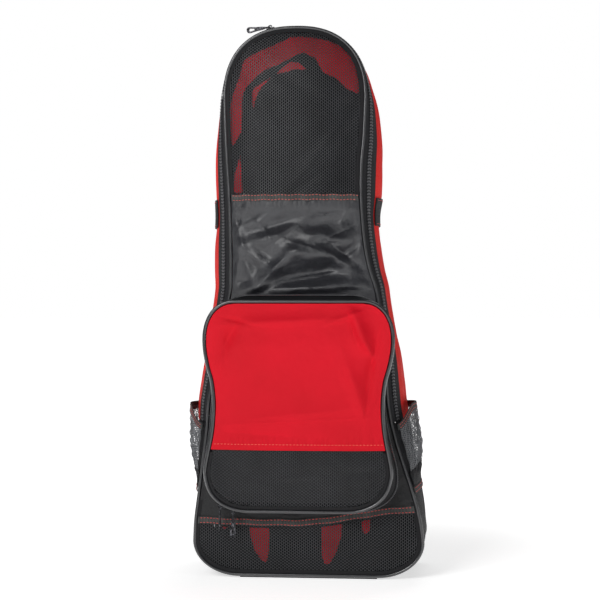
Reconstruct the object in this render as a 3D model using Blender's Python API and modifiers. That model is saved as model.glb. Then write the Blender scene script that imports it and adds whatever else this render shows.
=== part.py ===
"""Beach gear bag standing on its base, front towards -Y, origin at the middle of its flat bottom."""

import math

import bmesh
import bpy
from mathutils import Matrix, Vector

# Driving sizes, metres
HEIGHT = 0.735
HALF = 0.1515
FRONT_LOW = 0.085
FRONT_HIGH = 0.060
BACK_LOW = 0.075
BACK_HIGH = 0.062
FRONT_CROWN = 0.017
BACK_CROWN = 0.005
CLOTH = 0.0012
GAP = 0.0004
SEAM_GAP = 0.0006
PIPE = 0.0023
FLOOR_LIFT = 0.004
CORNER_WIDE = 0.396 * HALF
CORNER_TOP = 0.0667 * HEIGHT
ARCH_START = 0.864 * HEIGHT
ARCH_POWER = 2.4
TAPE = 0.027
COIL = 0.007
COIL_THICK = 0.0016
BAND = 0.009
SIDE_BREAK = 0.279 * HEIGHT
NYLON_TOP = 0.6857 * HEIGHT
POCKET_FORWARD = 0.045
POCKET_LOW = 0.1265 * HEIGHT
POCKET_HIGH = 0.498 * HEIGHT
POCKET_HEM = 0.2354 * HEIGHT
POCKET_CROWN = 0.009
STRAP = 0.052
STRAP_THICK = 0.008
WEBBING = 0.025
WEBBING_THICK = 0.0016
PAD = 0.006

# Shares of HEIGHT, then of HALF: half width and sideways lean of the front outline
OUTLINE = (
    (0.067, 1.000, 0.078),
    (0.103, 0.984, 0.070),
    (0.148, 0.944, 0.056),
    (0.212, 0.871, 0.024),
    (0.266, 0.817, 0.000),
    (0.320, 0.784, -0.015),
    (0.411, 0.724, 0.013),
    (0.516, 0.645, 0.026),
    (0.555, 0.614, 0.000),
    (0.593, 0.594, -0.020),
    (0.652, 0.583, -0.040),
    (0.695, 0.582, -0.050),
    (0.751, 0.593, -0.057),
    (0.795, 0.609, -0.054),
    (0.864, 0.624, -0.053),
)

# Share of HEIGHT, share of HALF: how far the side wall swells past its seams
SIDE_SWELL = (
    (0.000, 0.000),
    (0.060, 0.006),
    (0.105, 0.030),
    (0.160, 0.065),
    (0.220, 0.110),
    (0.290, 0.142),
    (0.500, 0.150),
    (0.700, 0.150),
    (0.766, 0.140),
    (0.823, 0.103),
    (0.852, 0.080),
    (0.896, 0.034),
    (0.930, 0.016),
    (1.010, 0.008),
)

# Share of HEIGHT, share of HALF: half width of the pocket's face
POCKET_HALF = (
    (0.120, 0.790),
    (0.170, 0.785),
    (0.196, 0.803),
    (0.226, 0.780),
    (0.258, 0.750),
    (0.284, 0.735),
    (0.320, 0.730),
    (0.355, 0.748),
    (0.382, 0.784),
    (0.412, 0.812),
    (0.440, 0.815),
    (0.467, 0.792),
    (0.500, 0.780),
)

# Folds of the front nylon: centre across (share of HALF), centre up (share of HEIGHT), turn in degrees,
# half length, half width and height (shares of HALF); a minus height is a hollow
FOLDS = (
    (-0.24, 0.545, 47, 0.32, 0.055, 0.046),
    (0.17, 0.553, 7, 0.30, 0.070, -0.062),
    (0.30, 0.574, -32, 0.19, 0.040, 0.040),
    (0.42, 0.577, -38, 0.24, 0.040, -0.034),
    (0.12, 0.524, 4, 0.40, 0.055, 0.038),
    (-0.49, 0.585, -74, 0.30, 0.040, 0.026),
    (-0.36, 0.578, -40, 0.17, 0.045, 0.026),
    (0.25, 0.618, 22, 0.26, 0.060, -0.036),
    (-0.05, 0.632, 10, 0.30, 0.060, 0.030),
    (0.15, 0.655, 5, 0.24, 0.040, -0.024),
    (-0.42, 0.652, 20, 0.14, 0.045, -0.022),
)

# Soft hollows and ridges of the pocket's red face, in the same columns
POCKET_FOLDS = (
    (0.56, 0.445, -65, 0.26, 0.060, 0.030),
    (0.66, 0.400, 78, 0.24, 0.050, -0.030),
    (0.50, 0.350, -72, 0.28, 0.060, 0.022),
    (-0.60, 0.430, 60, 0.22, 0.060, -0.022),
    (-0.15, 0.462, 3, 0.50, 0.050, 0.014),
    (0.05, 0.190, 4, 0.60, 0.060, -0.016),
)


# Shared maths
def between(at, rows, column):
    """Value of a table's column at a share of the first column, along a smooth curve."""
    last = len(rows) - 1
    if at <= rows[0][0]:
        return rows[0][column]
    if at >= rows[last][0]:
        return rows[last][column]
    index = 0
    while rows[index + 1][0] < at:
        index += 1

    def slope(row):
        low = max(row - 1, 0)
        high = min(row + 1, last)
        return (rows[high][column] - rows[low][column]) / (rows[high][0] - rows[low][0])

    span = rows[index + 1][0] - rows[index][0]
    part = (at - rows[index][0]) / span
    start = rows[index][column]
    end = rows[index + 1][column]
    return (
        start * (1 + 2 * part) * (1 - part) ** 2
        + slope(index) * span * part * (1 - part) ** 2
        + end * part * part * (3 - 2 * part)
        + slope(index + 1) * span * part * part * (part - 1)
    )


def steps(start, end, count):
    return [start + (end - start) * k / count for k in range(count + 1)]


def ease(value):
    value = min(max(value, 0.0), 1.0)
    return value * value * (3 - 2 * value)


def fold_height(x, z, folds):
    """Height of a table of folds above the plain cloth at one place."""
    total = 0.0
    for across, up, turn, long, wide, high in folds:
        right = x - across * HALF
        rise = z - up * HEIGHT
        angle = math.radians(turn)
        along = right * math.cos(angle) + rise * math.sin(angle)
        aside = rise * math.cos(angle) - right * math.sin(angle)
        total += high * HALF * math.exp(-((along / (long * HALF)) ** 2) - (aside / (wide * HALF)) ** 2)
    return total


# Outline of the bag as seen from the front
def sway_at(z):
    return HALF * between(z / HEIGHT, OUTLINE, 2)


def half_at(z, inset=0.0):
    """Half width at a height, on the outline drawn in by inset."""
    if z < CORNER_TOP:
        wide = CORNER_WIDE - inset
        high = CORNER_TOP - FLOOR_LIFT - inset
        down = min((CORNER_TOP - z) / high, 1.0)
        return HALF - CORNER_WIDE + wide * math.sqrt(1 - down * down)
    if z > ARCH_START:
        wide = HALF * OUTLINE[-1][1] - inset
        high = HEIGHT - PIPE - ARCH_START - inset
        up = min((z - ARCH_START) / high, 1.0)
        return wide * (1 - up**ARCH_POWER) ** (1 / ARCH_POWER)
    return HALF * between(z / HEIGHT, OUTLINE, 1) - inset


def arch_height(angle, inset):
    high = HEIGHT - PIPE - ARCH_START - inset
    return ARCH_START + high * math.sin(angle) ** (2 / ARCH_POWER)


def outline(t, inset=0.0):
    """Point (x, z) of the outline: t is -1 at the lower left, 0 at the top and 1 at the lower right."""
    side = -1.0 if t < 0 else 1.0
    part = abs(t)
    if part < 0.3:
        angle = math.radians(90) * (1 - part / 0.3)
        z = arch_height(angle, inset)
        wide = HALF * OUTLINE[-1][1] - inset
        return sway_at(ARCH_START) + side * wide * math.cos(angle) ** (2 / ARCH_POWER), z
    if part < 0.85:
        z = ARCH_START + (CORNER_TOP - ARCH_START) * (part - 0.3) / 0.55
        return sway_at(z) + side * half_at(z, inset), z
    angle = math.radians(90) * (part - 0.85) / 0.15
    high = CORNER_TOP - FLOOR_LIFT - inset
    z = CORNER_TOP - high * math.sin(angle)
    half = HALF - CORNER_WIDE + (CORNER_WIDE - inset) * math.cos(angle)
    return sway_at(CORNER_TOP) + side * half, z


def t_at(z):
    """Outline place, on the right, of a height on the bag's straight sides."""
    return 0.3 + 0.55 * (ARCH_START - z) / (ARCH_START - CORNER_TOP)


def outward(t):
    """Unit direction square to the outline, away from the bag."""
    x_before, z_before = outline(max(t - 0.004, -1.0))
    x_after, z_after = outline(min(t + 0.004, 1.0))
    across = x_after - x_before
    up = z_after - z_before
    length = math.hypot(across, up)
    return -up / length, across / length


def front_at(z):
    return -(FRONT_LOW + (FRONT_HIGH - FRONT_LOW) * z / HEIGHT)


def back_at(z):
    return BACK_LOW + (BACK_HIGH - BACK_LOW) * z / HEIGHT


def crown_share(x, z):
    """How much of a panel's crown is left here: 1 in the middle, 0 on the outline."""
    wide = half_at(min(z, ARCH_START))
    off = abs(x - sway_at(z)) / wide
    if z > ARCH_START:
        up = (z - ARCH_START) / (HEIGHT - PIPE - ARCH_START)
        off = (off**ARCH_POWER + up**ARCH_POWER) ** (1 / ARCH_POWER)
    return max(1 - min(off, 1.0) ** 2.5, 0.0) * ease((z - FLOOR_LIFT) / 0.07)


def front_surface(x, z):
    return front_at(z) - FRONT_CROWN * crown_share(x, z)


def back_surface(x, z):
    return back_at(z) + BACK_CROWN * crown_share(x, z)


def front_place(u, z, lift=0.0, inset=PIPE + CLOTH):
    """Point on the front panel: u from -1 to 1 across, z up, lift towards the viewer."""
    x = sway_at(z) + u * half_at(z, inset)
    return Vector((x, front_surface(x, z) - lift, z))


def back_place(u, z, lift=0.0, inset=PIPE + CLOTH):
    x = sway_at(z) + u * half_at(z, inset)
    return Vector((x, back_surface(x, z) + lift, z))


def side_profile(t):
    """Points (back, out) of the side wall's section from the front seam to the back seam."""
    z = outline(t)[1]
    deep = back_at(z) - front_at(z)
    swell = HALF * between(z / HEIGHT, SIDE_SWELL, 1)
    return [(deep * k / 48, swell * math.sin(math.pi * k / 48) ** 0.75) for k in range(49)]


def side_length(t):
    points = side_profile(t)
    return sum(math.dist(points[k], points[k + 1]) for k in range(48))


def side_place(t, a, lift=0.0):
    """Point on the side wall: a metres back from the front seam, or from the back seam if negative."""
    points = side_profile(t)
    left = a if a >= 0 else side_length(t) + a
    index = 0
    while index < 47 and left > math.dist(points[index], points[index + 1]):
        left -= math.dist(points[index], points[index + 1])
        index += 1
    start, end = points[index], points[index + 1]
    length = math.dist(start, end)
    back_step = (end[0] - start[0]) / length
    out_step = (end[1] - start[1]) / length
    back = start[0] + back_step * left - out_step * lift
    out = start[1] + out_step * left + back_step * lift
    x, z = outline(t)
    nx, nz = outward(t)
    return Vector((x + nx * out, front_at(z) + back, z + nz * out))


# Building
def clear_scene():
    for thing in list(bpy.data.objects):
        bpy.data.objects.remove(thing, do_unlink=True)


def collection(name, helper=False):
    group = bpy.data.collections.new(name)
    bpy.context.scene.collection.children.link(group)
    group.hide_render = helper
    return group


def material(name, colour, roughness, metallic=0.0):
    made = bpy.data.materials.new(name)
    made.use_nodes = True
    shader = made.node_tree.nodes["Principled BSDF"]
    shader.inputs["Base Color"].default_value = (*colour, 1.0)
    shader.inputs["Roughness"].default_value = roughness
    shader.inputs["Metallic"].default_value = metallic
    return made


def add(name, data, slot, group, at=(0, 0, 0), parent=None):
    if not data.materials:
        data.materials.append(slot)
    thing = bpy.data.objects.new(name, data)
    thing.location = at
    thing.parent = parent
    group.objects.link(thing)
    return thing


def sheet(name, across, along, place, thick, slot, group, ring=False):
    """A grid laid out by place(across, along) and thickened on both sides: one panel of cloth."""
    grid = bmesh.new()
    bmesh.ops.create_grid(grid, x_segments=len(across) - 1, y_segments=len(along) - 1, size=1.0)
    reach = max(vert.co.x for vert in grid.verts)
    for vert in grid.verts:
        column = round((vert.co.x / reach + 1) / 2 * (len(across) - 1))
        row = round((vert.co.y / reach + 1) / 2 * (len(along) - 1))
        vert.co = place(across[column], along[row])
    if ring:
        bmesh.ops.remove_doubles(grid, verts=grid.verts, dist=0.00002)
    bmesh.ops.recalc_face_normals(grid, faces=grid.faces)
    data = bpy.data.meshes.new(name)
    grid.to_mesh(data)
    grid.free()
    thing = add(name, data, slot, group)
    shell = thing.modifiers.new("Thickness", "SOLIDIFY")
    shell.thickness = thick
    shell.offset = 0.0
    shell.use_even_offset = True
    shell.use_quality_normals = True
    return thing


def tube(name, points, radius, slot, group, ring=False, sides=1, at=(0, 0, 0), parent=None):
    """A round cord along points, its ends capped or joined to a ring."""
    data = bpy.data.curves.new(name, "CURVE")
    data.dimensions = "3D"
    line = data.splines.new("POLY")
    line.points.add(len(points) - 1)
    for spot, point in zip(line.points, points):
        spot.co = (*point, 1.0)
    line.use_cyclic_u = ring
    data.bevel_depth = radius
    data.bevel_resolution = sides
    data.use_fill_caps = not ring
    return add(name, data, slot, group, at, parent)


def boolean(target, other, operation):
    change = target.modifiers.new(operation.title(), "BOOLEAN")
    change.operation = operation
    change.object = other
    change.solver = "EXACT"


def helper_mesh(source):
    """A curve's solid as a mesh object among the helpers."""
    bpy.context.view_layer.update()
    graph = bpy.context.evaluated_depsgraph_get()
    data = bpy.data.meshes.new_from_object(source.evaluated_get(graph))
    data.transform(source.matrix_world)
    work = bmesh.new()
    work.from_mesh(data)
    bmesh.ops.remove_doubles(work, verts=work.verts, dist=0.000005)
    bmesh.ops.recalc_face_normals(work, faces=work.faces)
    work.to_mesh(data)
    work.free()
    name = source.name
    bpy.data.objects.remove(source, do_unlink=True)
    return helper(name, data)


def helper(name, data, at=(0, 0, 0), parent=None):
    thing = bpy.data.objects.new(name, data)
    thing.location = at
    thing.parent = parent
    thing.hide_render = True
    thing.display_type = "WIRE"
    tools.objects.link(thing)
    return thing


def box_data(name, size, middle=(0, 0, 0), rounded=0.0):
    work = bmesh.new()
    bmesh.ops.create_cube(work, size=1.0)
    bmesh.ops.scale(work, vec=size, verts=work.verts)
    bmesh.ops.translate(work, vec=middle, verts=work.verts)
    if rounded:
        bmesh.ops.bevel(work, geom=work.edges[:], offset=rounded, segments=1, affect="EDGES", profile=0.5)
    data = bpy.data.meshes.new(name)
    work.to_mesh(data)
    work.free()
    return data


clear_scene()
bag = collection("beach_gear_bag")
tools = collection("cutters", helper=True)

# Materials
NYLON = material("nylon_black", (0.035, 0.036, 0.040), 0.42)
RED = material("red_cloth", (0.60, 0.022, 0.032), 0.62)
NET = material("net_black", (0.030, 0.030, 0.032), 0.55)
PIPING = material("piping_black", (0.040, 0.042, 0.046), 0.35)
RIBBON = material("ribbon_black", (0.026, 0.026, 0.028), 0.75)
TAPE_BLACK = material("zip_tape_black", (0.022, 0.022, 0.024), 0.80)
COIL_BLACK = material("coil_black", (0.028, 0.028, 0.030), 0.50)
LINING = material("lining_black", (0.016, 0.016, 0.018), 0.85)
PADDED = material("padding_black", (0.028, 0.028, 0.031), 0.80)
GREY_NET = material("side_net_grey", (0.120, 0.125, 0.130), 0.60)
METAL = material("slider_gunmetal", (0.090, 0.090, 0.100), 0.35, 0.8)
PLASTIC = material("buckle_black", (0.025, 0.025, 0.027), 0.45)

# Piping round the front and the back
LEVEL_SHARES = (0.109, 0.150, 0.193, 0.238, 0.2925, 0.354, 0.422, 0.476, 0.520, 0.566, 0.626, 0.694, 0.755, 0.814)
LEVELS = [HEIGHT * share for share in LEVEL_SHARES]
ARCH_TURNS = steps(-0.3, 0.3, 18)
CORNER_TURNS = steps(0.85, 1.0, 4)
AROUND = [-t for t in reversed(CORNER_TURNS)] + [-t_at(z) for z in LEVELS] + ARCH_TURNS
AROUND += [t_at(z) for z in reversed(LEVELS)] + CORNER_TURNS
BOTTOM_RUN = (0.5, 0.0, -0.5)


def piping(name, depth_at, sides):
    points = []
    for t in AROUND:
        x, z = outline(t)
        points.append((x, depth_at(z), z))
    for share in BOTTOM_RUN:
        x = sway_at(CORNER_TOP) + share * (HALF - CORNER_WIDE)
        points.append((x, depth_at(FLOOR_LIFT), FLOOR_LIFT))
    tube(name, points, PIPE, PIPING, bag, ring=True, sides=sides)


piping("front_piping", front_at, 1)
piping("back_piping", back_at, 0)

# Net window in the upper front, its dark lining, and the ribbon over its lower seam
SEAM = PIPE + SEAM_GAP
LINING_SEAM = 0.011
WINDOW_ROWS = [NYLON_TOP + GAP / 2] + [HEIGHT * share for share in (0.713, 0.755, 0.814, 0.864)]
WINDOW_ROWS += [arch_height(math.radians(angle), SEAM) for angle in (14, 27, 40, 52, 63, 74, 85)]
TEN = steps(-1.0, 1.0, 10)
FOURTEEN = steps(-1.0, 1.0, 14)


def window_place(u, z):
    return front_place(u, z, inset=SEAM)


def window_lining_place(u, z):
    back = 0.0014 + 0.0046 * ease((z - NYLON_TOP) / 0.05)
    return front_place(u, z, lift=-back, inset=LINING_SEAM)


def window_band_place(u, row):
    z = NYLON_TOP + row * BAND / 2
    return front_place(u, z, lift=CLOTH / 2 + GAP + 0.0005, inset=SEAM + 0.0006)


sheet("window_mesh", FOURTEEN, WINDOW_ROWS, window_place, 0.001, NET, bag)
LINING_ROWS = [HEIGHT * share for share in (0.694, 0.721, 0.762, 0.814, 0.864)]
LINING_ROWS += [arch_height(math.radians(angle), LINING_SEAM) for angle in (25, 45, 62, 80)]
sheet("window_lining", TEN, LINING_ROWS, window_lining_place, 0.001, LINING, bag)
sheet("window_band", FOURTEEN, [-1, 1], window_band_place, 0.001, RIBBON, bag)


# Glossy nylon below the window, and the ribbon and net at the foot of the front
def base_line(x):
    """Height of the ribbon at the foot: it climbs to the right."""
    return 0.1027 * HEIGHT + 0.112 * HALF * ease((x / HALF + 0.066) / 1.12)


def fold_room(x, z):
    """1 where the nylon lies free in folds, 0 at its seams and behind the pocket."""
    off = abs(x - sway_at(z)) / half_at(z)
    return ease((NYLON_TOP - 0.006 - z) / 0.014) * ease((z - POCKET_HIGH - 0.008) / 0.012) * ease((0.97 - off) / 0.12)


NYLON_FOOT = 0.102 * HEIGHT
NYLON_LOW = 0.197 * HEIGHT


def nylon_place(u, row):
    z = row
    x = sway_at(CORNER_TOP) + u * HALF
    if row < NYLON_LOW:
        share = (NYLON_LOW - row) / (NYLON_LOW - NYLON_FOOT)
        z = NYLON_LOW + (base_line(x) + GAP / 2 - NYLON_LOW) * share
    point = front_place(u, z, inset=SEAM)
    point.y -= fold_height(point.x, point.z, FOLDS) * fold_room(point.x, point.z)
    return point


def base_net_place(u, row):
    """row runs from 0 at the bottom seam to 1 under the ribbon."""
    x = sway_at(CORNER_TOP) + u * HALF
    z = FLOOR_LIFT + SEAM + 0.0002 + (base_line(x) - GAP / 2 - FLOOR_LIFT - SEAM - 0.0002) * row
    return front_place(u, z, inset=SEAM + 0.0005)


def base_lining_place(u, row):
    x = sway_at(CORNER_TOP) + u * HALF
    z = 0.33 * CORNER_TOP + (base_line(x) - 0.008 - 0.33 * CORNER_TOP) * row
    return front_place(u, z, lift=-0.0020 - 0.0040 * (1 - row), inset=SEAM + 0.008)


def base_band_place(u, row):
    x = sway_at(CORNER_TOP) + u * HALF
    z = base_line(x) + row * BAND / 2
    return front_place(u, z, lift=CLOTH / 2 + GAP + 0.0006, inset=SEAM + 0.0008)


NYLON_ROWS = [NYLON_FOOT, 0.150 * HEIGHT, NYLON_LOW] + LEVELS[3:7] + [POCKET_HIGH]
NYLON_ROWS += steps(POCKET_HIGH + 0.010, NYLON_TOP - 0.008, 11) + [NYLON_TOP - GAP / 2]
sheet("front_nylon", FOURTEEN, NYLON_ROWS, nylon_place, CLOTH, NYLON, bag)
sheet("base_mesh", FOURTEEN, [0.0, 0.25, 0.5, 0.75, 1.0], base_net_place, 0.001, NET, bag)
sheet("base_lining", TEN, [0.0, 0.5, 1.0], base_lining_place, 0.001, LINING, bag)
sheet("base_band", FOURTEEN, [-1, 1], base_band_place, 0.001, RIBBON, bag)

# Zip tape over the arch with its coil, and the red side wall behind it
START = PIPE + SEAM_GAP + 0.0002
COIL_START = 0.0105
COIL_END = COIL_START + COIL
TAPE_END = START + TAPE
T_BREAK = t_at(SIDE_BREAK + GAP)
UPPER = [z for z in LEVELS if z > SIDE_BREAK + 0.002]
OVER = [-T_BREAK] + [-t_at(z) for z in UPPER] + ARCH_TURNS + [t_at(z) for z in reversed(UPPER)] + [T_BREAK]


def coil_place(t, a):
    return side_place(t, a, lift=CLOTH / 2 + GAP + COIL_THICK / 2)


def red_side_place(t, share):
    low = TAPE_END + GAP
    return side_place(t, low + (side_length(t) - START - low) * share)


sheet("zip_tape", OVER, [START, COIL_START, COIL_END, TAPE_END], side_place, CLOTH, TAPE_BLACK, bag)
sheet("zip_coil", OVER, [COIL_START + 0.0003, COIL_END - 0.0003], coil_place, COIL_THICK, COIL_BLACK, bag)
sheet("side_panel", OVER, [0.0, 0.34, 0.70, 1.0], red_side_place, CLOTH, RED, bag)

# Webbing across each side and the black foot of each side
WEB_LOW = 0.635 * HEIGHT
WEB_HIGH = 0.687 * HEIGHT
SIDES = (("left", -1), ("right", 1))


def webbing_place(side):
    def place(share, z):
        t = side * t_at(z)
        low = TAPE_END + 0.002
        a = low + (side_length(t) - START - 0.003 - low) * share
        return side_place(t, a, lift=CLOTH / 2 + WEBBING_THICK / 2 + GAP + 0.0006)

    return place


def foot_place(side):
    def place(part, share):
        t = side * part
        return side_place(t, START + (side_length(t) - 2 * START) * share)

    return place


T_FOOT = t_at(SIDE_BREAK - GAP)
FOOT = [T_FOOT] + [t_at(z) for z in reversed(LEVELS) if z < SIDE_BREAK] + CORNER_TURNS
SEVEN = [0.0, 0.10, 0.28, 0.50, 0.72, 0.90, 1.0]
for word, side in SIDES:
    shares = [0.0, 0.34, 0.70, 1.0]
    sheet("side_webbing_" + word, shares, steps(WEB_LOW, WEB_HIGH, 2), webbing_place(side), WEBBING_THICK, RIBBON, bag)
    sheet("base_side_" + word, FOOT, SEVEN, foot_place(side), CLOTH, NYLON, bag)


# Flat bottom
BOTTOM_THICK = 0.0030
EDGE_BACK = 0.0026
bottom_data = box_data(
    "bottom_panel",
    (
        2 * (HALF - CORNER_WIDE) - 0.001,
        BACK_LOW + FRONT_LOW - 2 * EDGE_BACK,
        BOTTOM_THICK,
    ),
    (sway_at(CORNER_TOP), (BACK_LOW - FRONT_LOW) / 2, BOTTOM_THICK / 2),
)
add("bottom_panel", bottom_data, NYLON, bag)

# Padded back
BACK_SEAM = PIPE + SEAM_GAP + 0.0005
BACK_ROWS = [FLOOR_LIFT + BACK_SEAM + 0.001, 0.33 * CORNER_TOP, 0.61 * CORNER_TOP, CORNER_TOP] + LEVELS
BACK_ROWS += [ARCH_START] + [arch_height(math.radians(angle), BACK_SEAM) for angle in (18, 35, 50, 64, 75, 84)]


def back_panel_place(u, z):
    return back_place(u, z, inset=BACK_SEAM)


back = sheet("back_panel", steps(-1.0, 1.0, 8), BACK_ROWS, back_panel_place, PAD, PADDED, bag)
back.modifiers["Thickness"].thickness = PAD / 2.4


# Side pockets of net, open at the top
def pocket_top(a):
    return 0.2735 * HEIGHT + 0.0327 * HEIGHT * ease(a / 0.055)


SIDE_POCKET_LOW = 0.1646 * HEIGHT
SP_COLUMNS = [0.0, 0.05, 0.20, 0.50, 0.80, 0.95, 1.0]
SP_START = 0.007


def side_pocket_place(side, extra):
    def place(share, row):
        """row 0 to 1 up the pocket; the edges lie on the side and the middle stands off it."""
        guess = side * t_at(SIDE_POCKET_LOW + 0.1224 * HEIGHT * row)
        a = SP_START + (side_length(guess) - 2 * SP_START) * share
        z = SIDE_POCKET_LOW + (pocket_top(a) - SIDE_POCKET_LOW) * row
        t = side * t_at(z)
        a = SP_START + (side_length(t) - 2 * SP_START) * share
        bow = math.sin(math.pi * share) ** 0.6 if 0 < share < 1 else 0.0
        stand = 0.0095 * bow * ease(row / 0.5)
        return side_place(t, a, lift=CLOTH + GAP + 0.0004 + stand + extra)

    return place


def side_band_place(side, a_low, a_high, z_low, high, extra):
    def place(share, row):
        a_share = a_low + (a_high - a_low) * share
        return side_pocket_place(side, extra)(a_share, z_low + high * row)

    return place


HEM_SHARE = 0.10
for word, side in SIDES:
    net_rows = [0.0, 0.18, 0.5, 1 - HEM_SHARE, 1.0]
    sheet("side_pocket_" + word, SP_COLUMNS, net_rows, side_pocket_place(side, 0.0), 0.001, GREY_NET, bag)
    hem = side_pocket_place(side, 0.0015)
    sheet("side_pocket_hem_" + word, SP_COLUMNS, [1 - HEM_SHARE, 1.0], hem, 0.001, RIBBON, bag)

    def foot_ribbon(share, row, side=side):
        t = side * t_at(SIDE_POCKET_LOW - GAP - 0.0085 + 0.008 * row)
        a = START + 0.001 + (side_length(t) - 2 * START - 0.002) * share
        return side_place(t, a, lift=CLOTH + GAP + 0.0003)

    sheet("side_pocket_base_band_" + word, SEVEN, [0.0, 1.0], foot_ribbon, 0.001, RIBBON, bag)


# Front pocket: a closed rounded loop of its own, on the nylon and at its face
def pocket_half(z):
    return HALF * between(z / HEIGHT, POCKET_HALF, 1)


def root_half(z):
    return half_at(z) - 0.0115


POCKET_SWAY = 0.002
LOW_CORNER = (0.37 * HALF, 0.0544 * HEIGHT)
HIGH_CORNER = (0.218 * HALF, 0.0449 * HEIGHT)
FACE_LOOP = (pocket_half, lambda z: POCKET_SWAY, POCKET_LOW, POCKET_HIGH, LOW_CORNER, HIGH_CORNER)
ROOT_LOOP = (root_half, sway_at, POCKET_LOW + 0.008, POCKET_HIGH + 0.006, LOW_CORNER, HIGH_CORNER)


def loop_half(z, loop, inset):
    """Half width of a pocket loop at a height, with its rounded corners."""
    half_of, _, low, high, low_corner, high_corner = loop
    half = half_of(z) - inset
    if z < low + low_corner[1]:
        down = min((low + low_corner[1] - z) / (low_corner[1] - inset), 1.0)
        return half - (low_corner[0] - inset) * (1 - math.sqrt(1 - down * down))
    if z > high - high_corner[1]:
        up = min((z - high + high_corner[1]) / (high_corner[1] - inset), 1.0)
        return half - (high_corner[0] - inset) * (1 - math.sqrt(1 - up * up))
    return half


def loop_point(s, loop, inset=0.0):
    """Point (x, z) of a pocket loop: s from 0 to 1 starts at the bottom middle and rises on the left."""
    half_of, middle_of, low, high, low_corner, high_corner = loop
    side = -1.0 if s <= 0.5 else 1.0
    part = s if s <= 0.5 else 1.0 - s
    low += inset
    high -= inset
    low_wide, low_high = low_corner[0] - inset, low_corner[1] - inset
    high_wide, high_high = high_corner[0] - inset, high_corner[1] - inset
    low_side = low + low_high
    high_side = high - high_high
    if part < 0.10:
        half = (half_of(low) - inset - low_wide) * part / 0.10
        z = low
    elif part < 0.20:
        angle = math.radians(90) * (part - 0.10) / 0.10
        z = low_side - low_high * math.cos(angle)
        half = half_of(z) - inset - low_wide * (1 - math.sin(angle))
    elif part < 0.40:
        z = low_side + (high_side - low_side) * (part - 0.20) / 0.20
        half = half_of(z) - inset
    elif part < 0.46:
        angle = math.radians(90) * (part - 0.40) / 0.06
        z = high_side + high_high * math.sin(angle)
        half = half_of(z) - inset - high_wide * (1 - math.cos(angle))
    else:
        z = high
        half = (half_of(high) - inset - high_wide) * (0.5 - part) / 0.04
    return middle_of(z) + side * half, z


def face_depth(x, z):
    """The pocket face's depth: a shallow cushion with creases."""
    half = pocket_half(z)
    off = min(abs(x - POCKET_SWAY) / half, 1.0)
    up = min(max((z - POCKET_LOW) / (POCKET_HIGH - POCKET_LOW), 0.0), 1.0)
    cushion = (1 - off**3) * ease(up / 0.22) * ease((1 - up) / 0.22)
    creases = fold_height(x, z, POCKET_FOLDS) * ease((0.95 - off) / 0.2) * ease((1 - up) / 0.06) * ease(up / 0.08)
    flat = -(FRONT_LOW + (FRONT_HIGH - FRONT_LOW) * z / HEIGHT) - POCKET_FORWARD
    return flat - POCKET_CROWN * cushion - creases


def face_place(u, z, lift=0.0, inset=PIPE + GAP):
    half = loop_half(z, FACE_LOOP, inset)
    x = POCKET_SWAY + u * half
    return Vector((x, face_depth(x, z) - lift, z))


FACE_SEAM = PIPE + SEAM_GAP
RED_SHARES = (0.272, 0.313, 0.354, 0.392, 0.4245, 0.453, 0.472, 0.486)
RED_ROWS = [POCKET_HEM] + [HEIGHT * share for share in RED_SHARES] + [POCKET_HIGH - FACE_SEAM]
NET_SHARES = (0.1347, 0.147, 0.163, 0.181, 0.207)
NET_ROWS = [POCKET_LOW + FACE_SEAM] + [HEIGHT * share for share in NET_SHARES] + [POCKET_HEM - GAP]
def red_place(u, z):
    return face_place(u, z, inset=FACE_SEAM + 0.0003)


sheet("pocket_front", FOURTEEN, RED_ROWS, red_place, CLOTH, RED, bag)
sheet("pocket_mesh", FOURTEEN, NET_ROWS, red_place, 0.001, NET, bag)

POCKET_AROUND = steps(0.0, 0.10, 2)[:-1] + steps(0.10, 0.20, 5)[:-1] + steps(0.20, 0.40, 8)[:-1]
POCKET_AROUND += steps(0.40, 0.46, 4)
POCKET_AROUND += [0.5] + [1 - s for s in reversed(POCKET_AROUND)]


def face_edge(s):
    x, z = loop_point(s, FACE_LOOP)
    return Vector((x, face_depth(x, z), z))


tube("pocket_piping", [face_edge(s) for s in POCKET_AROUND[:-1]], PIPE, PIPING, bag, ring=True)


def gusset_place(s, share, lift=0.0):
    """Pocket side wall: share 0 on the nylon, 1 at the face piping."""
    root_x, root_z = loop_point(s, ROOT_LOOP)
    edge_x, edge_z = loop_point(s, FACE_LOOP)
    root = Vector((root_x, front_surface(root_x, root_z) - CLOTH - 0.0013, root_z))
    edge = face_edge(s)
    before = loop_point((s - 0.004) % 1.0, FACE_LOOP)
    after = loop_point((s + 0.004) % 1.0, FACE_LOOP)
    across, up = after[0] - before[0], after[1] - before[1]
    length = math.hypot(across, up)
    out = Vector((-up / length, 0.0, across / length))
    path = edge - root
    reach = path.length
    stop = 1 - (PIPE + SEAM_GAP + 0.0010) / reach
    bow = 0.0035 * math.sin(math.pi * share)
    return root + path * (share * stop) + out * (bow + lift)


def pocket_coil_place(s, share):
    return gusset_place(s, share, lift=CLOTH / 2 + GAP + 0.0010)


GUSSET_ROWS = [0.0, 0.48, 0.64, 1.0]
sheet("pocket_gusset", POCKET_AROUND, GUSSET_ROWS, gusset_place, CLOTH, NYLON, bag, ring=True)
COIL_RUN = [s for s in POCKET_AROUND if s >= 0.09] + [1.0]
sheet("pocket_zip_coil", COIL_RUN, [0.50, 0.62], pocket_coil_place, 0.0014, COIL_BLACK, bag)

# Yoke, padded straps, webbing and adjusters on the back
YOKE_LOW = 0.811 * HEIGHT
YOKE_HIGH = 0.871 * HEIGHT
STRAP_TOP = 0.827 * HEIGHT
STRAP_END = 0.320 * HEIGHT
WEB_FOOT = 0.071 * HEIGHT
BACK_CLEAR = PAD / 4.8 + GAP


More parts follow.
